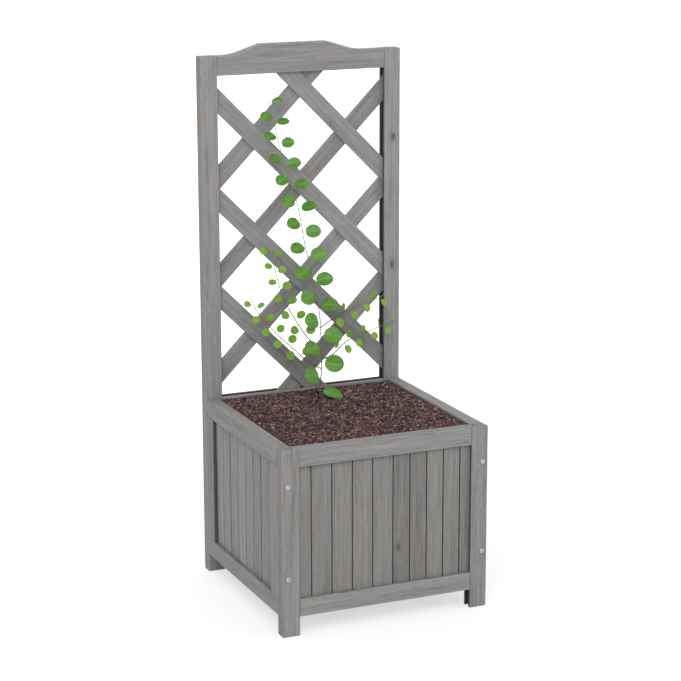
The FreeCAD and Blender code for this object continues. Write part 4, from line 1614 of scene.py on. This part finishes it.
class Fasteners:
    """The corner screws and the nails, set on points by one tree."""

    INPUTS = [
        ("Points", "NodeSocketObject", None),
        ("Fastener", "NodeSocketObject", None),
    ]

    def __init__(self, finish: Material) -> None:
        """Builds the tree.

        Args:
            finish: The steel.
        """
        graph = GeometryGraph("fasteners", self.INPUTS)
        self.graph = graph
        graph.finish(graph.instances(graph.shape("Points"), graph.shape("Fastener"),
                                     Rotation=graph.turn()), finish)

    def _set(self, name: str, item: Object, places: Sequence[Vector],
             turns: Sequence[Euler]) -> Object:
        """Puts a copy of the item on each place.

        Args:
            name: The piece's name.
            item: The helper object, which is removed.
            places: Where the copies stand.
            turns: How each is turned.

        Returns:
            The piece.
        """
        points = link("places", new_mesh("places", places, turn=turns))
        piece = self.graph.grow(name, {"Points": points, "Fastener": item})
        bpy.data.objects.remove(points)
        bpy.data.objects.remove(item)
        return piece

    def screws(self) -> None:
        """Builds the eight corner screws: hexagon socket, flat head with an eased rim."""
        low, high = span("corner_screws")
        head, shank, length, proud = 0.004, 0.002, 0.045, 0.002
        # The third numbers are painted shade: under the head and down into the hex socket.
        profile = [
            LathePoint(0.0005, -length), LathePoint(shank, 0.006 - length), LathePoint(shank, 0.0),
            LathePoint(head, 0.0, 0.3), LathePoint(head, proud * 0.55),
            LathePoint(head - 0.0003, proud * 0.86), LathePoint(head - 0.0008, proud),
            LathePoint(0.0019, proud), LathePoint(0, proud - 0.0002, 0.4), LathePoint(0, 0.0004, 1.0),
        ]
        screw = turned("screw", profile, 30, flats=(8, 9), across=0.0030)
        places, turns = [], []
        dice = random.Random(4)
        x = high.x - head
        for y, tilt in ((low.y + proud, 90), (high.y - proud, -90)):
            for z in (low.z + head, high.z - head):
                for side in (-1, 1):
                    places.append(Vector((side * x, y, z)))
                    spin = Matrix.Rotation(dice.uniform(0, math.pi), 3, "Z")
                    turns.append((Matrix.Rotation(math.radians(tilt), 3, "X") @ spin).to_euler())
        mount_piece(self._set("steel_corner_screws", screw, places, turns), "screw_steel", "corner_screws")

    def lattice_nails(self, rows: int = 3) -> None:
        """Builds the nails at the slats' crossings, their heads at the back.

        Args:
            rows: The number of spaces between the slats of one layer.
        """
        low, high = span("lattice_nails")
        spacing = slat_spacing(rows)
        head, rim = 0.0018, 0.0006
        tip, shank = low.y - high.y + rim, 0.0008
        # The 0.4 is painted shade under the nail's head.
        profile = [LathePoint(shank / 2, tip), LathePoint(shank, tip + 0.001), LathePoint(shank, 0.0),
                   LathePoint(head, 0.0, 0.4), LathePoint(head, rim * 0.6),
                   LathePoint(head - 0.0004, rim), LathePoint(0.0002, rim)]
        nail = turned("nail", profile, 12)
        face = high.y - rim
        top = high.z - head
        places = [Vector((0.0, face, top - spacing * i)) for i in range(rows + 1)]
        places += [Vector((side * spacing / 2, face, top - spacing * (i + 0.5)))
                   for i in range(rows) for side in (-1, 1)]
        turn = Euler((math.radians(-90), 0.0, 0.0))
        piece = self._set("steel_lattice_nails", nail, places, [turn] * len(places))
        mount_piece(piece, "nail_steel", "lattice_nails")


# ---------------------------------------------------------------- soil


@dataclass(frozen=True)
class Strewing:
    """One size of bark: how many pieces, how long, how they are shaped, and how pale they run."""

    name: str
    count: int
    length: float
    slender: float
    lowest_tone: float
    highest_tone: float
    rise: float
    seed: int


@dataclass
class Soil:
    """The bark filling: a bed that keeps the filling's hollows and swells, strewn with bark."""

    cell: float = 0.0030
    relief: float = 0.0016
    sink: float = 0.0012
    margin: float = 0.004
    bed_tone: float = 0.12
    strewings: tuple[Strewing, ...] = (
        Strewing("crumbs", 19000, 0.0052, 0.75, 0.10, 0.95, 0.0003, 11),
        Strewing("chips", 3300, 0.0098, 0.60, 0.04, 0.72, 0.0006, 23),
        Strewing("pale_splinters", 420, 0.0080, 0.36, 0.80, 1.0, 0.0016, 31),
        Strewing("sticks", 60, 0.021, 0.13, 0.30, 1.0, 0.0020, 47),
        Strewing("lumps", 110, 0.0150, 0.85, 0.06, 0.34, 0.0006, 59),
    )

    @staticmethod
    def _filling_top(low: Vector, high: Vector) -> Callable[[float, float], float]:
        """The height of the CAD filling's top at a place.

        Args:
            low: The filling's lowest corner.
            high: Its highest corner.

        Returns:
            The height at x and y.
        """
        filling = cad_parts["soil_fill"]
        turn = filling.matrix_world
        tree = BVHTree.FromPolygons([turn @ point.co for point in filling.data.vertices],
                                    [tuple(face.vertices) for face in filling.data.polygons])

        def height(x: float, y: float) -> float:
            """The top's height there, or the lowest of it past the edge."""
            spot = tree.ray_cast(Vector((x, y, high.z + 0.01)), Vector((0.0, 0.0, -1.0)))[0]
            return spot.z if spot and spot.z > low.z + 0.01 else high.z - 0.003

        return height

    def _bed(self, low: Vector, high: Vector) -> Mesh:
        """The filling with its uneven top.

        Args:
            low: The filling's lowest corner.
            high: Its highest corner.

        Returns:
            The bed's closed mesh.
        """
        top = self._filling_top(low, high)
        columns = round((high.x - low.x) / self.cell)
        inside = 0.0001

        def spot(i: int, j: int) -> Vector:
            """A point of the top.

            Args:
                i: Its column.
                j: Its row.

            Returns:
                The point.
            """
            x = low.x + (high.x - low.x) * i / columns
            y = low.y + (high.y - low.y) * j / columns
            level = top(min(max(x, low.x + inside), high.x - inside),
                        min(max(y, low.y + inside), high.y - inside))
            bump = noise.fractal(Vector((x, y, 0.3)) * 70, 0.7, 2.1, 4)
            return Vector((x, y, min(level - self.sink + bump * self.relief, high.z)))

        row = columns + 1
        points = [spot(i, j) for j in range(row) for i in range(row)]
        faces = [[j * row + i, j * row + i + 1, (j + 1) * row + i + 1, (j + 1) * row + i]
                 for j in range(columns) for i in range(columns)]
        border = ([i for i in range(row)] + [j * row + columns for j in range(1, row)]
                  + [columns * row + i for i in range(columns - 1, -1, -1)]
                  + [j * row for j in range(columns - 1, 0, -1)])
        first = len(points)
        points += [Vector((points[k].x, points[k].y, low.z)) for k in border]
        count = len(border)
        faces += [[border[k], first + k, first + (k + 1) % count, border[(k + 1) % count]]
                  for k in range(count)]
        faces.append([first + k for k in range(count)])
        mesh = new_mesh("bed", points, faces, tone=[self.bed_tone] * len(points))
        set_outwards(mesh)
        return mesh

    @staticmethod
    def _shard(slender: float, seed: int) -> Object:
        """A split piece of bark of unit length: eight flat faces about a crooked spine.

        Args:
            slender: Its width for its length.
            seed: The seed of its shape.

        Returns:
            A helper object, which the caller removes.
        """
        dice = random.Random(seed)
        points = [Vector((-0.5, dice.uniform(-0.1, 0.1) * slender, 0.0)),
                  Vector((0.5, dice.uniform(-0.1, 0.1) * slender, 0.0))]
        for across, up in ((-0.5, -0.05), (-0.04, 0.30), (0.5, 0.08), (0.06, -0.28)):
            points.append(Vector((dice.uniform(-0.16, 0.16), across * slender * dice.uniform(0.85, 1.1),
                                  up * slender * dice.uniform(0.8, 1.2))))
        faces = []
        for k in range(4):
            here, there = 2 + k, 2 + (k + 1) % 4
            faces += [[0, here, there], [1, there, here]]
        mesh = new_mesh("shard", points, faces)
        work = bmesh.new()
        work.from_mesh(mesh)
        bmesh.ops.recalc_face_normals(work, faces=work.faces)
        work.to_mesh(mesh)
        work.free()
        return link("shard", mesh)

    @staticmethod
    def _tree(finish: Material) -> "GeometryGraph":
        """The tree that drops shards at random places onto the bed.

        Args:
            finish: The bark.

        Returns:
            The tree.
        """
        graph = GeometryGraph("bark_strewing", [
            ("Shard", "NodeSocketObject", None), ("Bed", "NodeSocketObject", None),
            ("Width", "NodeSocketFloat", 0.34), ("Count", "NodeSocketInt", 100),
            ("Length", "NodeSocketFloat", 0.004), ("Height", "NodeSocketFloat", 0.34),
            ("Rise", "NodeSocketFloat", 0.0), ("Lowest Tone", "NodeSocketFloat", 0.1),
            ("Highest Tone", "NodeSocketFloat", 0.9), ("Seed", "NodeSocketInt", 1),
        ])
        seed = graph.given("Seed")
        points = graph.node("GeometryNodeMeshLine", None, {"Count": graph.given("Count")})
        half = graph.given("Width") * 0.5
        above = graph.combine(graph.chance(-1.0, 1.0, seed) * half,
                              graph.chance(-1.0, 1.0, seed + 1.0) * half, graph.given("Height"))
        landing = graph.node("GeometryNodeRaycast", None, {
            "Target Geometry": graph.shape("Bed"), "Source Position": above,
            "Ray Direction": (0.0, 0.0, -1.0), "Ray Length": 0.1}, "Hit Position")
        rise = graph.combine(z=graph.given("Rise") + graph.chance(-0.0007, 0.0005, seed + 2.0))
        points = graph.moved(points, Position=landing + rise)
        tone = graph.chance(0.0, 1.0, seed + 4.0)
        spread = graph.given("Highest Tone") - graph.given("Lowest Tone")
        points = graph.store(points, "tone", graph.given("Lowest Tone") + tone * tone * spread)
        size = graph.chance(0.0, 1.0, seed + 5.0)
        size = graph.given("Length") * (0.45 + size * size * 0.75)
        turn = graph.combine(graph.chance(-1.2, 1.2, seed + 6.0), graph.chance(-0.42, 0.42, seed + 7.0),
                             graph.chance(0.0, 6.28, seed + 9.0))
        graph.finish(graph.instances(points, graph.shape("Shard"), Rotation=turn, Scale=size), finish)
        return graph

    def build(self, finish: Material) -> None:
        """Builds the bed and strews the bark.

        Args:
            finish: The bark.
        """
        low, high = span("soil_fill")
        bed = joined("bark_bed", [self._bed(low, high)], finish)
        graph = self._tree(finish)
        for strewing in self.strewings:
            shard = self._shard(strewing.slender, strewing.seed)
            width = high.x - low.x - 2 * self.margin - strewing.length
            piece = graph.grow(f"bark_{strewing.name}", {
                "Shard": shard, "Bed": bed, "Width": width, "Count": strewing.count,
                "Length": strewing.length, "Height": high.z + 0.01, "Rise": strewing.rise,
                "Lowest Tone": strewing.lowest_tone, "Highest Tone": strewing.highest_tone,
                "Seed": strewing.seed,
            })
            bpy.data.objects.remove(shard)
            mount_piece(piece, "bark_soil")
        mount_piece(bed, "bark_soil", "soil_fill")


# ---------------------------------------------------------------- climber


@dataclass(frozen=True)
class Shoot:
    """A stem: its route in millimetres (x, height above the soil, distance in front of the rear
    wall's inner face), the distance of its first leaf, and the widths of its lowest and highest leaf."""

    route: tuple[tuple[float, float, float], ...]
    first: float
    low_width: float
    high_width: float


SHOOTS = {
    "leader": Shoot(((2, 0, 72), (2, 8, 71), (6, 25, 62), (10, 35, 58), (15, 54, 50), (18, 73, 43),
                     (20, 91, 36), (24, 117, 25), (27, 144, 14), (24, 165, 12), (15, 212, 11),
                     (5, 252, 11), (-4, 293, 11), (-12, 345, 10), (-21, 377, 10), (-38, 426, 10),
                     (-52, 473, 10), (-62, 522, 10), (-73, 556, 10)), 13, 36, 20),
    "upper_left": Shoot(((19, 79, 41), (-2, 103, 20), (-19, 133, 12), (-34, 159, 9), (-44, 179, 9),
                         (-54, 207, 9), (-62, 238, 9), (-68, 261, 9), (-79, 291, 9)), 50, 18, 14),
    "lower_left": Shoot(((14, 49, 52), (-3, 58, 36), (-12, 66, 24), (-21, 77, 16), (-36, 91, 11),
                         (-61, 115, 9), (-81, 138, 9), (-97, 159, 9), (-107, 175, 9),
                         (-112, 195, 9)), 50, 18, 13),
    "upper_right": Shoot(((24, 121, 23), (56, 135, 10), (81, 144, 9), (106, 153, 9), (119, 160, 9),
                          (148, 162, 9), (163, 171, 9)), 46, 17, 13),
    "lower_right": Shoot(((17, 66, 46), (43, 66, 30), (59, 74, 22), (79, 86, 14), (97, 93, 10),
                          (119, 96, 9), (140, 105, 9), (163, 110, 9), (185, 116, 9)), 38, 17, 13),
}


@dataclass(frozen=True)
class LeafPlace:
    """Where a leaf hangs: its root on the stem, its stalk's end, its middle, and how it lies."""

    root: Vector
    base: Vector
    centre: Vector
    heading: Vector
    facing: Vector
    width: float
    share: float


@dataclass
class Climber:
    """The young climber: its stems, stalks and leaves."""

    stem_radius: float = 0.0012
    tip_radius: float = 0.0006
    stalk_radius: float = 0.0005
    stalk_length: float = 0.005
    stalk_gap: float = 0.0001
    leaf_ratio: float = 1.1
    leaf_thickness: float = 0.0006
    lean: float = 92.0
    forward: float = 0.42
    low_tilt: float = 24.0
    high_tilt: float = 50.0
    swing: float = 12.0
    step_ratio: float = 0.58
    step_base: float = 0.0075
    golden: float = 137.5
    places: list[LeafPlace] = field(default_factory=list)

    @staticmethod
    def _points(shoot: Shoot, rear_face: float, soil_top: float) -> list[Vector]:
        """A route's points in metres."""
        return [Vector((x / 1000, rear_face - out / 1000, soil_top + up / 1000))
                for x, up, out in shoot.route]

    @staticmethod
    def _along(points: Sequence[Vector], distance: float) -> tuple[Vector, Vector]:
        """The point that far along the route, and the route's direction there.

        Args:
            points: The route.
            distance: How far along it.

        Returns:
            The point and the direction.
        """
        for start, end in zip(points, points[1:]):
            run = (end - start).length
            if distance <= run:
                direction = (end - start).normalized()
                return start + direction * distance, direction
            distance -= run
        return points[-1], (points[-1] - points[-2]).normalized()

    def _leaf_places(self, points: Sequence[Vector], shoot: Shoot, soil_top: float) -> None:
        """Works out every leaf of one shoot: its root, stalk's end, middle, heading, facing, width and
        how far along the shoot it stands.

        Args:
            points: The shoot's route.
            shoot: The shoot.
            soil_top: The height of the soil's top.
        """
        total = sum((b - a).length for a, b in zip(points, points[1:]))
        distance, count = shoot.first / 1000, 0
        outward, upward = Vector((0.0, -1.0, 0.0)), Vector((0.0, 0.0, 1.0))
        lean = math.radians(self.lean)
        while distance < total:
            root, direction = self._along(points, distance)
            share = distance / total
            width = (shoot.low_width + (shoot.high_width - shoot.low_width) * share) / 1000
            across = direction.cross(outward).normalized() * (-1 if count % 2 else 1)
            heading = (across * math.sin(lean) + direction * math.cos(lean)
                       + outward * self.forward).normalized()
            slant = heading.dot(direction)
            reach = self.stem_radius + self.stalk_radius * abs(slant) + self.stalk_gap
            base = root + heading * (reach / math.sqrt(1 - slant ** 2) + self.stalk_length)
            centre = base + heading * (width * self.leaf_ratio / 2 - self.stalk_length / 4)
            swing = math.radians(self.swing) * math.sin(math.radians(len(self.places) * self.golden))
            tilt = math.radians(self.low_tilt + (self.high_tilt - self.low_tilt) * share) + swing
            room = (centre.z - soil_top - self.leaf_thickness) / (width / 2)
            tilt = max(tilt, math.acos(min(1.0, max(0.0, room))))
            facing = outward * math.cos(tilt) + upward * math.sin(tilt) + across * (swing / 2)
            facing = (facing - heading * facing.dot(heading)).normalized()
            self.places.append(LeafPlace(root, base, centre, heading, facing, width, share))
            distance += width * self.step_ratio + self.step_base
            count += 1

    def _blade(self) -> Object:
        """A leaf of unit width about its middle: oval, slightly cupped along its rib, with a shallow
        notch at its stalk and a blunt point.

        Returns:
            A helper object, which the caller removes.
        """
        rings, spokes, thickness = 6, 32, 0.014
        notch, notch_width, tip, tip_width = 0.028, 0.26, 0.012, 0.2
        cupping, droop, lowered = 0.14, 0.10, 0.012
        points, blades, faces = [], [], []

        def rim(angle: float) -> Vector:
            """The leaf's outline; angle 0 is its tip.

            Args:
                angle: The turn from the tip, in radians.

            Returns:
                The rim's point there.
            """
            radius = 0.5 - notch * math.exp(-((math.pi - abs(angle)) / notch_width) ** 2)
            radius += tip * math.exp(-(angle / tip_width) ** 2) - tip / 2
            return Vector((radius * math.sin(angle), self.leaf_ratio * radius * math.cos(angle), 0.0))

        for side in (1, -1):
            for ring in range(rings + 1):
                share = ring / rings
                for k in range(spokes if ring else 1):
                    flat = rim(-math.pi + 2 * math.pi * k / spokes) * share
                    cup = cupping * abs(flat.x) - droop * share ** 3 * max(0.0, flat.y)
                    half = thickness * (0.5 if ring < rings else 0.15)
                    points.append(flat + Vector((0.0, 0.0, cup - lowered + side * half)))
                    blades.append(Vector((flat.x * 2, flat.y / self.leaf_ratio + 0.5, share)))
        per_side = 1 + rings * spokes

        def index(side: int, ring: int, k: int) -> int:
            """The number of a point."""
            return side * per_side + (0 if ring == 0 else 1 + (ring - 1) * spokes + k % spokes)

        for side in (0, 1):
            for k in range(spokes):
                faces.append([index(side, 0, 0), index(side, 1, k), index(side, 1, k + 1)])
                for ring in range(1, rings):
                    faces.append([index(side, ring, k), index(side, ring + 1, k),
                                  index(side, ring + 1, k + 1), index(side, ring, k + 1)])
        for k in range(spokes):
            faces.append([index(0, rings, k), index(1, rings, k), index(1, rings, k + 1),
                          index(0, rings, k + 1)])
        mesh = new_mesh("leaf", points, faces, blade=blades)
        set_outwards(mesh)
        return link("leaf", mesh)

    def _leaves(self, finish: Material) -> None:
        """Sets a leaf on each place.

        Args:
            finish: The leaves' finish.
        """
        graph = GeometryGraph("leaves", [
            ("Places", "NodeSocketObject", None), ("Leaf", "NodeSocketObject", None),
            ("Ripple", "NodeSocketFloat", 0.0010), ("Seed", "NodeSocketInt", 3),
        ])
        placed = graph.real(graph.instances(graph.shape("Places"), graph.shape("Leaf"),
                                            Rotation=graph.turn(), Scale=graph.named("size")))
        spot = graph.node("GeometryNodeInputPosition")
        wave = graph.node("ShaderNodeTexNoise", None, {"Vector": spot, "Scale": 45.0, "Detail": 0.0},
                          output="Color")
        shift = (wave - (0.5, 0.5, 0.5)) * graph.given("Ripple") * (1.0, 2.0, 1.0)
        graph.finish(graph.moved(placed, Offset=shift), finish)
        turns, sizes, tones = [], [], []
        oldest, youngest = 0.024, 0.012
        dice = random.Random(2)
        for place in self.places:
            side = place.heading.cross(place.facing)
            turns.append(Matrix((side, place.heading, place.facing)).transposed().to_euler())
            sizes.append(place.width)
            youth = (oldest - place.width) / (oldest - youngest)
            tones.append(min(1.0, max(0.0, youth + dice.uniform(-0.2, 0.3))))
        mesh = new_mesh("leaf_places", [place.centre for place in self.places], turn=turns, size=sizes,
                        tone=tones)
        points, leaf_item = link("leaf_places", mesh), self._blade()
        piece = graph.grow("leaf_blades", {"Places": points, "Leaf": leaf_item})
        bpy.data.objects.remove(points)
        bpy.data.objects.remove(leaf_item)
        mount_piece(piece, "vine_leaf", "vine_leaves")

    def _stems(self, routes: Sequence[Sequence[Vector]], finish: Material) -> None:
        """Grows tubes along the routes and the stalks.

        Args:
            routes: The shoots' routes.
            finish: The stems' finish.
        """
        curve = bpy.data.curves.new("stem_lines", "CURVE")
        curve.dimensions = "3D"
        curve.resolution_u = 6
        lines = [(points, self.stem_radius, self.tip_radius) for points in routes]
        lines += [([place.root, place.root.lerp(place.base, 0.5) + Vector((0.0, 0.0, 0.0006)), place.base],
                   self.stalk_radius * 1.15, self.stalk_radius * 0.85) for place in self.places]
        for points, thick, thin in lines:
            spline = curve.splines.new("NURBS")
            spline.points.add(len(points) - 1)
            for number, (target, point) in enumerate(zip(spline.points, points)):
                target.co = (*point, 1.0)
                target.radius = thick + (thin - thick) * number / (len(points) - 1)
            spline.order_u = 3
            spline.use_endpoint_u = True
        graph = GeometryGraph("stems", [("Geometry", "NodeSocketGeometry", None),
                                        ("Sides", "NodeSocketInt", 8)])
        lines_in = graph.given("Geometry")
        radius = graph.node("GeometryNodeInputRadius")
        lines_in = graph.store(lines_in, "tone", radius.step(0.0012, 0.0005))
        ring = graph.node("GeometryNodeCurvePrimitiveCircle", None,
                          {"Resolution": graph.given("Sides"), "Radius": 1.0})
        tubes = graph.node("GeometryNodeCurveToMesh", None,
                           {"Curve": lines_in, "Profile Curve": ring, "Scale": radius, "Fill Caps": True})
        tubes = graph.node("GeometryNodeSetShadeSmooth", None, {"Geometry": tubes})
        graph.finish(tubes, finish)
        piece = graph.grow("vine_wood", {}, base=curve)
        mount_piece(piece, "vine_stem", "vine_stems")

    def build(self, leaf: Material, stem: Material) -> None:
        """Builds the climber.

        Args:
            leaf: The leaves' finish.
            stem: The stems' finish.
        """
        soil_top = span("soil_fill")[1].z
        rear_face = span("rear_post_left")[0].y
        routes = [self._points(shoot, rear_face, soil_top) for shoot in SHOOTS.values()]
        for points, shoot in zip(routes, SHOOTS.values()):
            self._leaf_places(points, shoot, soil_top)
        self._leaves(leaf)
        self._stems(routes, stem)


# ---------------------------------------------------------------- studio


@dataclass(frozen=True)
class Studio:
    """A pale floor, a pale surround, soft lamps, and the camera."""

    camera_place: Colour = (-1.50256, -3.43785, 1.38775)
    yaw: float = 23.591
    pitch: float = 13.681
    roll: float = -0.153
    focal_pixels: float = 2115.5
    image_pixels: float = 681.0
    sensor: float = 36.0
    white: Colour = (1.0, 1.0, 1.0)
    floor_white: Colour = (0.86, 0.86, 0.86)
    floor_half: float = 9.0
    floor_glow: float = 1.46
    glow_share: float = 0.42
    shadow_reach: float = 1.6
    aim: Colour = (0.0, 0.0, 0.45)

    def camera(self) -> None:
        """Makes the camera."""
        data = bpy.data.cameras.new("camera")
        data.sensor_width = self.sensor
        data.lens = self.focal_pixels / self.image_pixels * self.sensor
        data.clip_start, data.clip_end = 0.1, 50.0
        camera = link("camera", data)
        turn = (Matrix.Rotation(math.radians(-self.yaw), 4, "Z")
                @ Matrix.Rotation(math.radians(90.0 - self.pitch), 4, "X")
                @ Matrix.Rotation(math.radians(self.roll), 4, "Z"))
        camera.matrix_world = Matrix.Translation(self.camera_place) @ turn
        bpy.context.scene.camera = camera

    def surround(self, strength: float = 0.55) -> None:
        """Makes the world's light, white where it is seen directly.

        Args:
            strength: The world's light on the object.
        """
        world = bpy.data.worlds.new("surround")
        bpy.context.scene.world = world
        world.use_nodes = True
        world.node_tree.nodes.clear()
        graph = Graph(world.node_tree)
        seen = graph.seen_by("Is Camera Ray", "Is Glossy Ray", "Is Transmission Ray")
        level = seen * (1.0 - strength) + strength
        back = graph.node("ShaderNodeBackground", None, {"Color": self.white, "Strength": level})
        graph.feed(graph.add("ShaderNodeOutputWorld").inputs["Surface"], back)

    def floor(self) -> None:
        """Makes the floor: it glows where the camera sees it far out, and takes the shadow near by."""
        half = self.floor_half
        mesh = new_mesh("floor", [(-half, -half, 0), (half, -half, 0), (half, half, 0), (-half, half, 0)],
                        [(0, 1, 2, 3)])
        graph = ShaderGraph("floor_white")
        seen = graph.seen_by("Is Camera Ray", "Is Glossy Ray")
        share = graph.place().length().step(self.shadow_reach * 0.5, self.shadow_reach,
                                            self.glow_share, 1.0)
        diffuse = graph.node("ShaderNodeBsdfDiffuse", None, {"Color": self.floor_white})
        glow = graph.node("ShaderNodeEmission", None, {"Color": self.white, "Strength": self.floor_glow})
        mixed = graph.node("ShaderNodeMixShader", None, {0: seen * share, 1: diffuse, 2: glow})
        mesh.materials.append(graph.end(mixed))
        link("floor", mesh)

    def lamps(self) -> None:
        """Makes three broad soft lamps."""
        for name, place, size, power in (
            ("key", (-1.6, -2.6, 2.6), 2.4, 62.0),
            ("fill", (2.6, -2.2, 1.6), 2.6, 26.0),
            ("back", (0.4, 2.6, 2.6), 2.2, 26.0),
        ):
            data = bpy.data.lights.new(name, "AREA")
            data.shape = "SQUARE"
            data.size = size
            data.energy = power
            lamp = link(name, data)
            lamp.location = place
            lamp.rotation_euler = (Vector(self.aim) - Vector(place)).to_track_quat("-Z", "Y").to_euler()


# ---------------------------------------------------------------- making


FRAME_KNOTS = (
    Knot((0.186, 0.176, 0.815), 0.0055, (0, 0, 1)),
    Knot((0.184, 0.176, 0.568), 0.0055, (0, 0, 1)),
)
BOARD_KNOTS = (Knot((0.026, -0.1925, 0.135), 0.005, (0, 0, 1)),)
SLAT_KNOTS = (Knot((-0.012, 0.183, 0.858), 0.005, (1, 0, 1)),)
BROAD_LAYOUT = BoardLayout(0.025, 4, 0.033)
SIDE_LAYOUT = BoardLayout(0.034, 0, 0.0382)


def main() -> None:
    """Builds the planter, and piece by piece."""
    bpy.context.scene.view_settings.view_transform = "Standard"
    studio = Studio()
    studio.camera()
    studio.surround()
    studio.floor()
    studio.lamps()

    frame_wood = WeatheredWood("frame_wood", knots=FRAME_KNOTS).material()
    board_wood = WeatheredWood("board_wood", grey=(0.275, 0.274, 0.272), warm=(0.262, 0.238, 0.222),
                               tone_spread=0.14).material()
    front_wood = WeatheredWood("front_wood", grey=(0.205, 0.200, 0.192), warm=(0.190, 0.170, 0.148),
                               cool=(0.190, 0.198, 0.196), tone_spread=0.16, knots=BOARD_KNOTS).material()
    slat_wood = WeatheredWood("slat_wood", grey=(0.245, 0.243, 0.245), knots=SLAT_KNOTS).material()
    bark = BarkMulch("bark").material()
    steel = ZincSteel("zinc_steel").material()

    planter = Planter(Stock())
    planter.frames(frame_wood)
    planter.crowned_rail(frame_wood)
    planter.base(board_wood)

    rows = BoardRows(BoardStock(), board_wood)
    front_rows = BoardRows(BoardStock(), front_wood)
    heights = tuple(corner.z for corner in span("front_board_01"))
    clear = 2 * planter.inner
    side_clear = 2 * (planter.side_half - planter.stock.width)
    front = [f"front_board_{i:02d}" for i in range(1, 11)]
    front_rows.row("boards_front", planter.walls["front"], clear, BROAD_LAYOUT, heights, 3, front)
    rows.row("boards_rear", planter.walls["rear"], clear, BROAD_LAYOUT, heights, 17, ["rear_boards"])
    for number, side in enumerate(("left", "right")):
        names = [f"{side}_board_{i}" for i in range(1, 9)]
        rows.row(f"boards_{side}", planter.walls[side], side_clear, SIDE_LAYOUT, heights, 40 + number,
                 names)

    lattice = Lattice(slat_wood)
    rails = (planter.box_top, span("trellis_top_rail")[0].z)
    for way, angle, seed in (("falling", 45, 5), ("rising", -45, 9)):
        names = [f"{way}_slat_{i}" for i in range(1, 5)]
        lattice.layer(f"slats_{way}", names, angle, seed, planter.inner, rails)

    fasteners = Fasteners(steel)
    fasteners.screws()
    fasteners.lattice_nails()
    cleat_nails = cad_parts["cleat_nails"]
    cleat_nails.data.materials.clear()
    cleat_nails.data.materials.append(steel)

    Soil().build(bark)
    Climber().build(Leaf("leaf").material(), Stem("stem").material())

    bpy.context.view_layer.update()


if __name__ == "__main__":
    main()
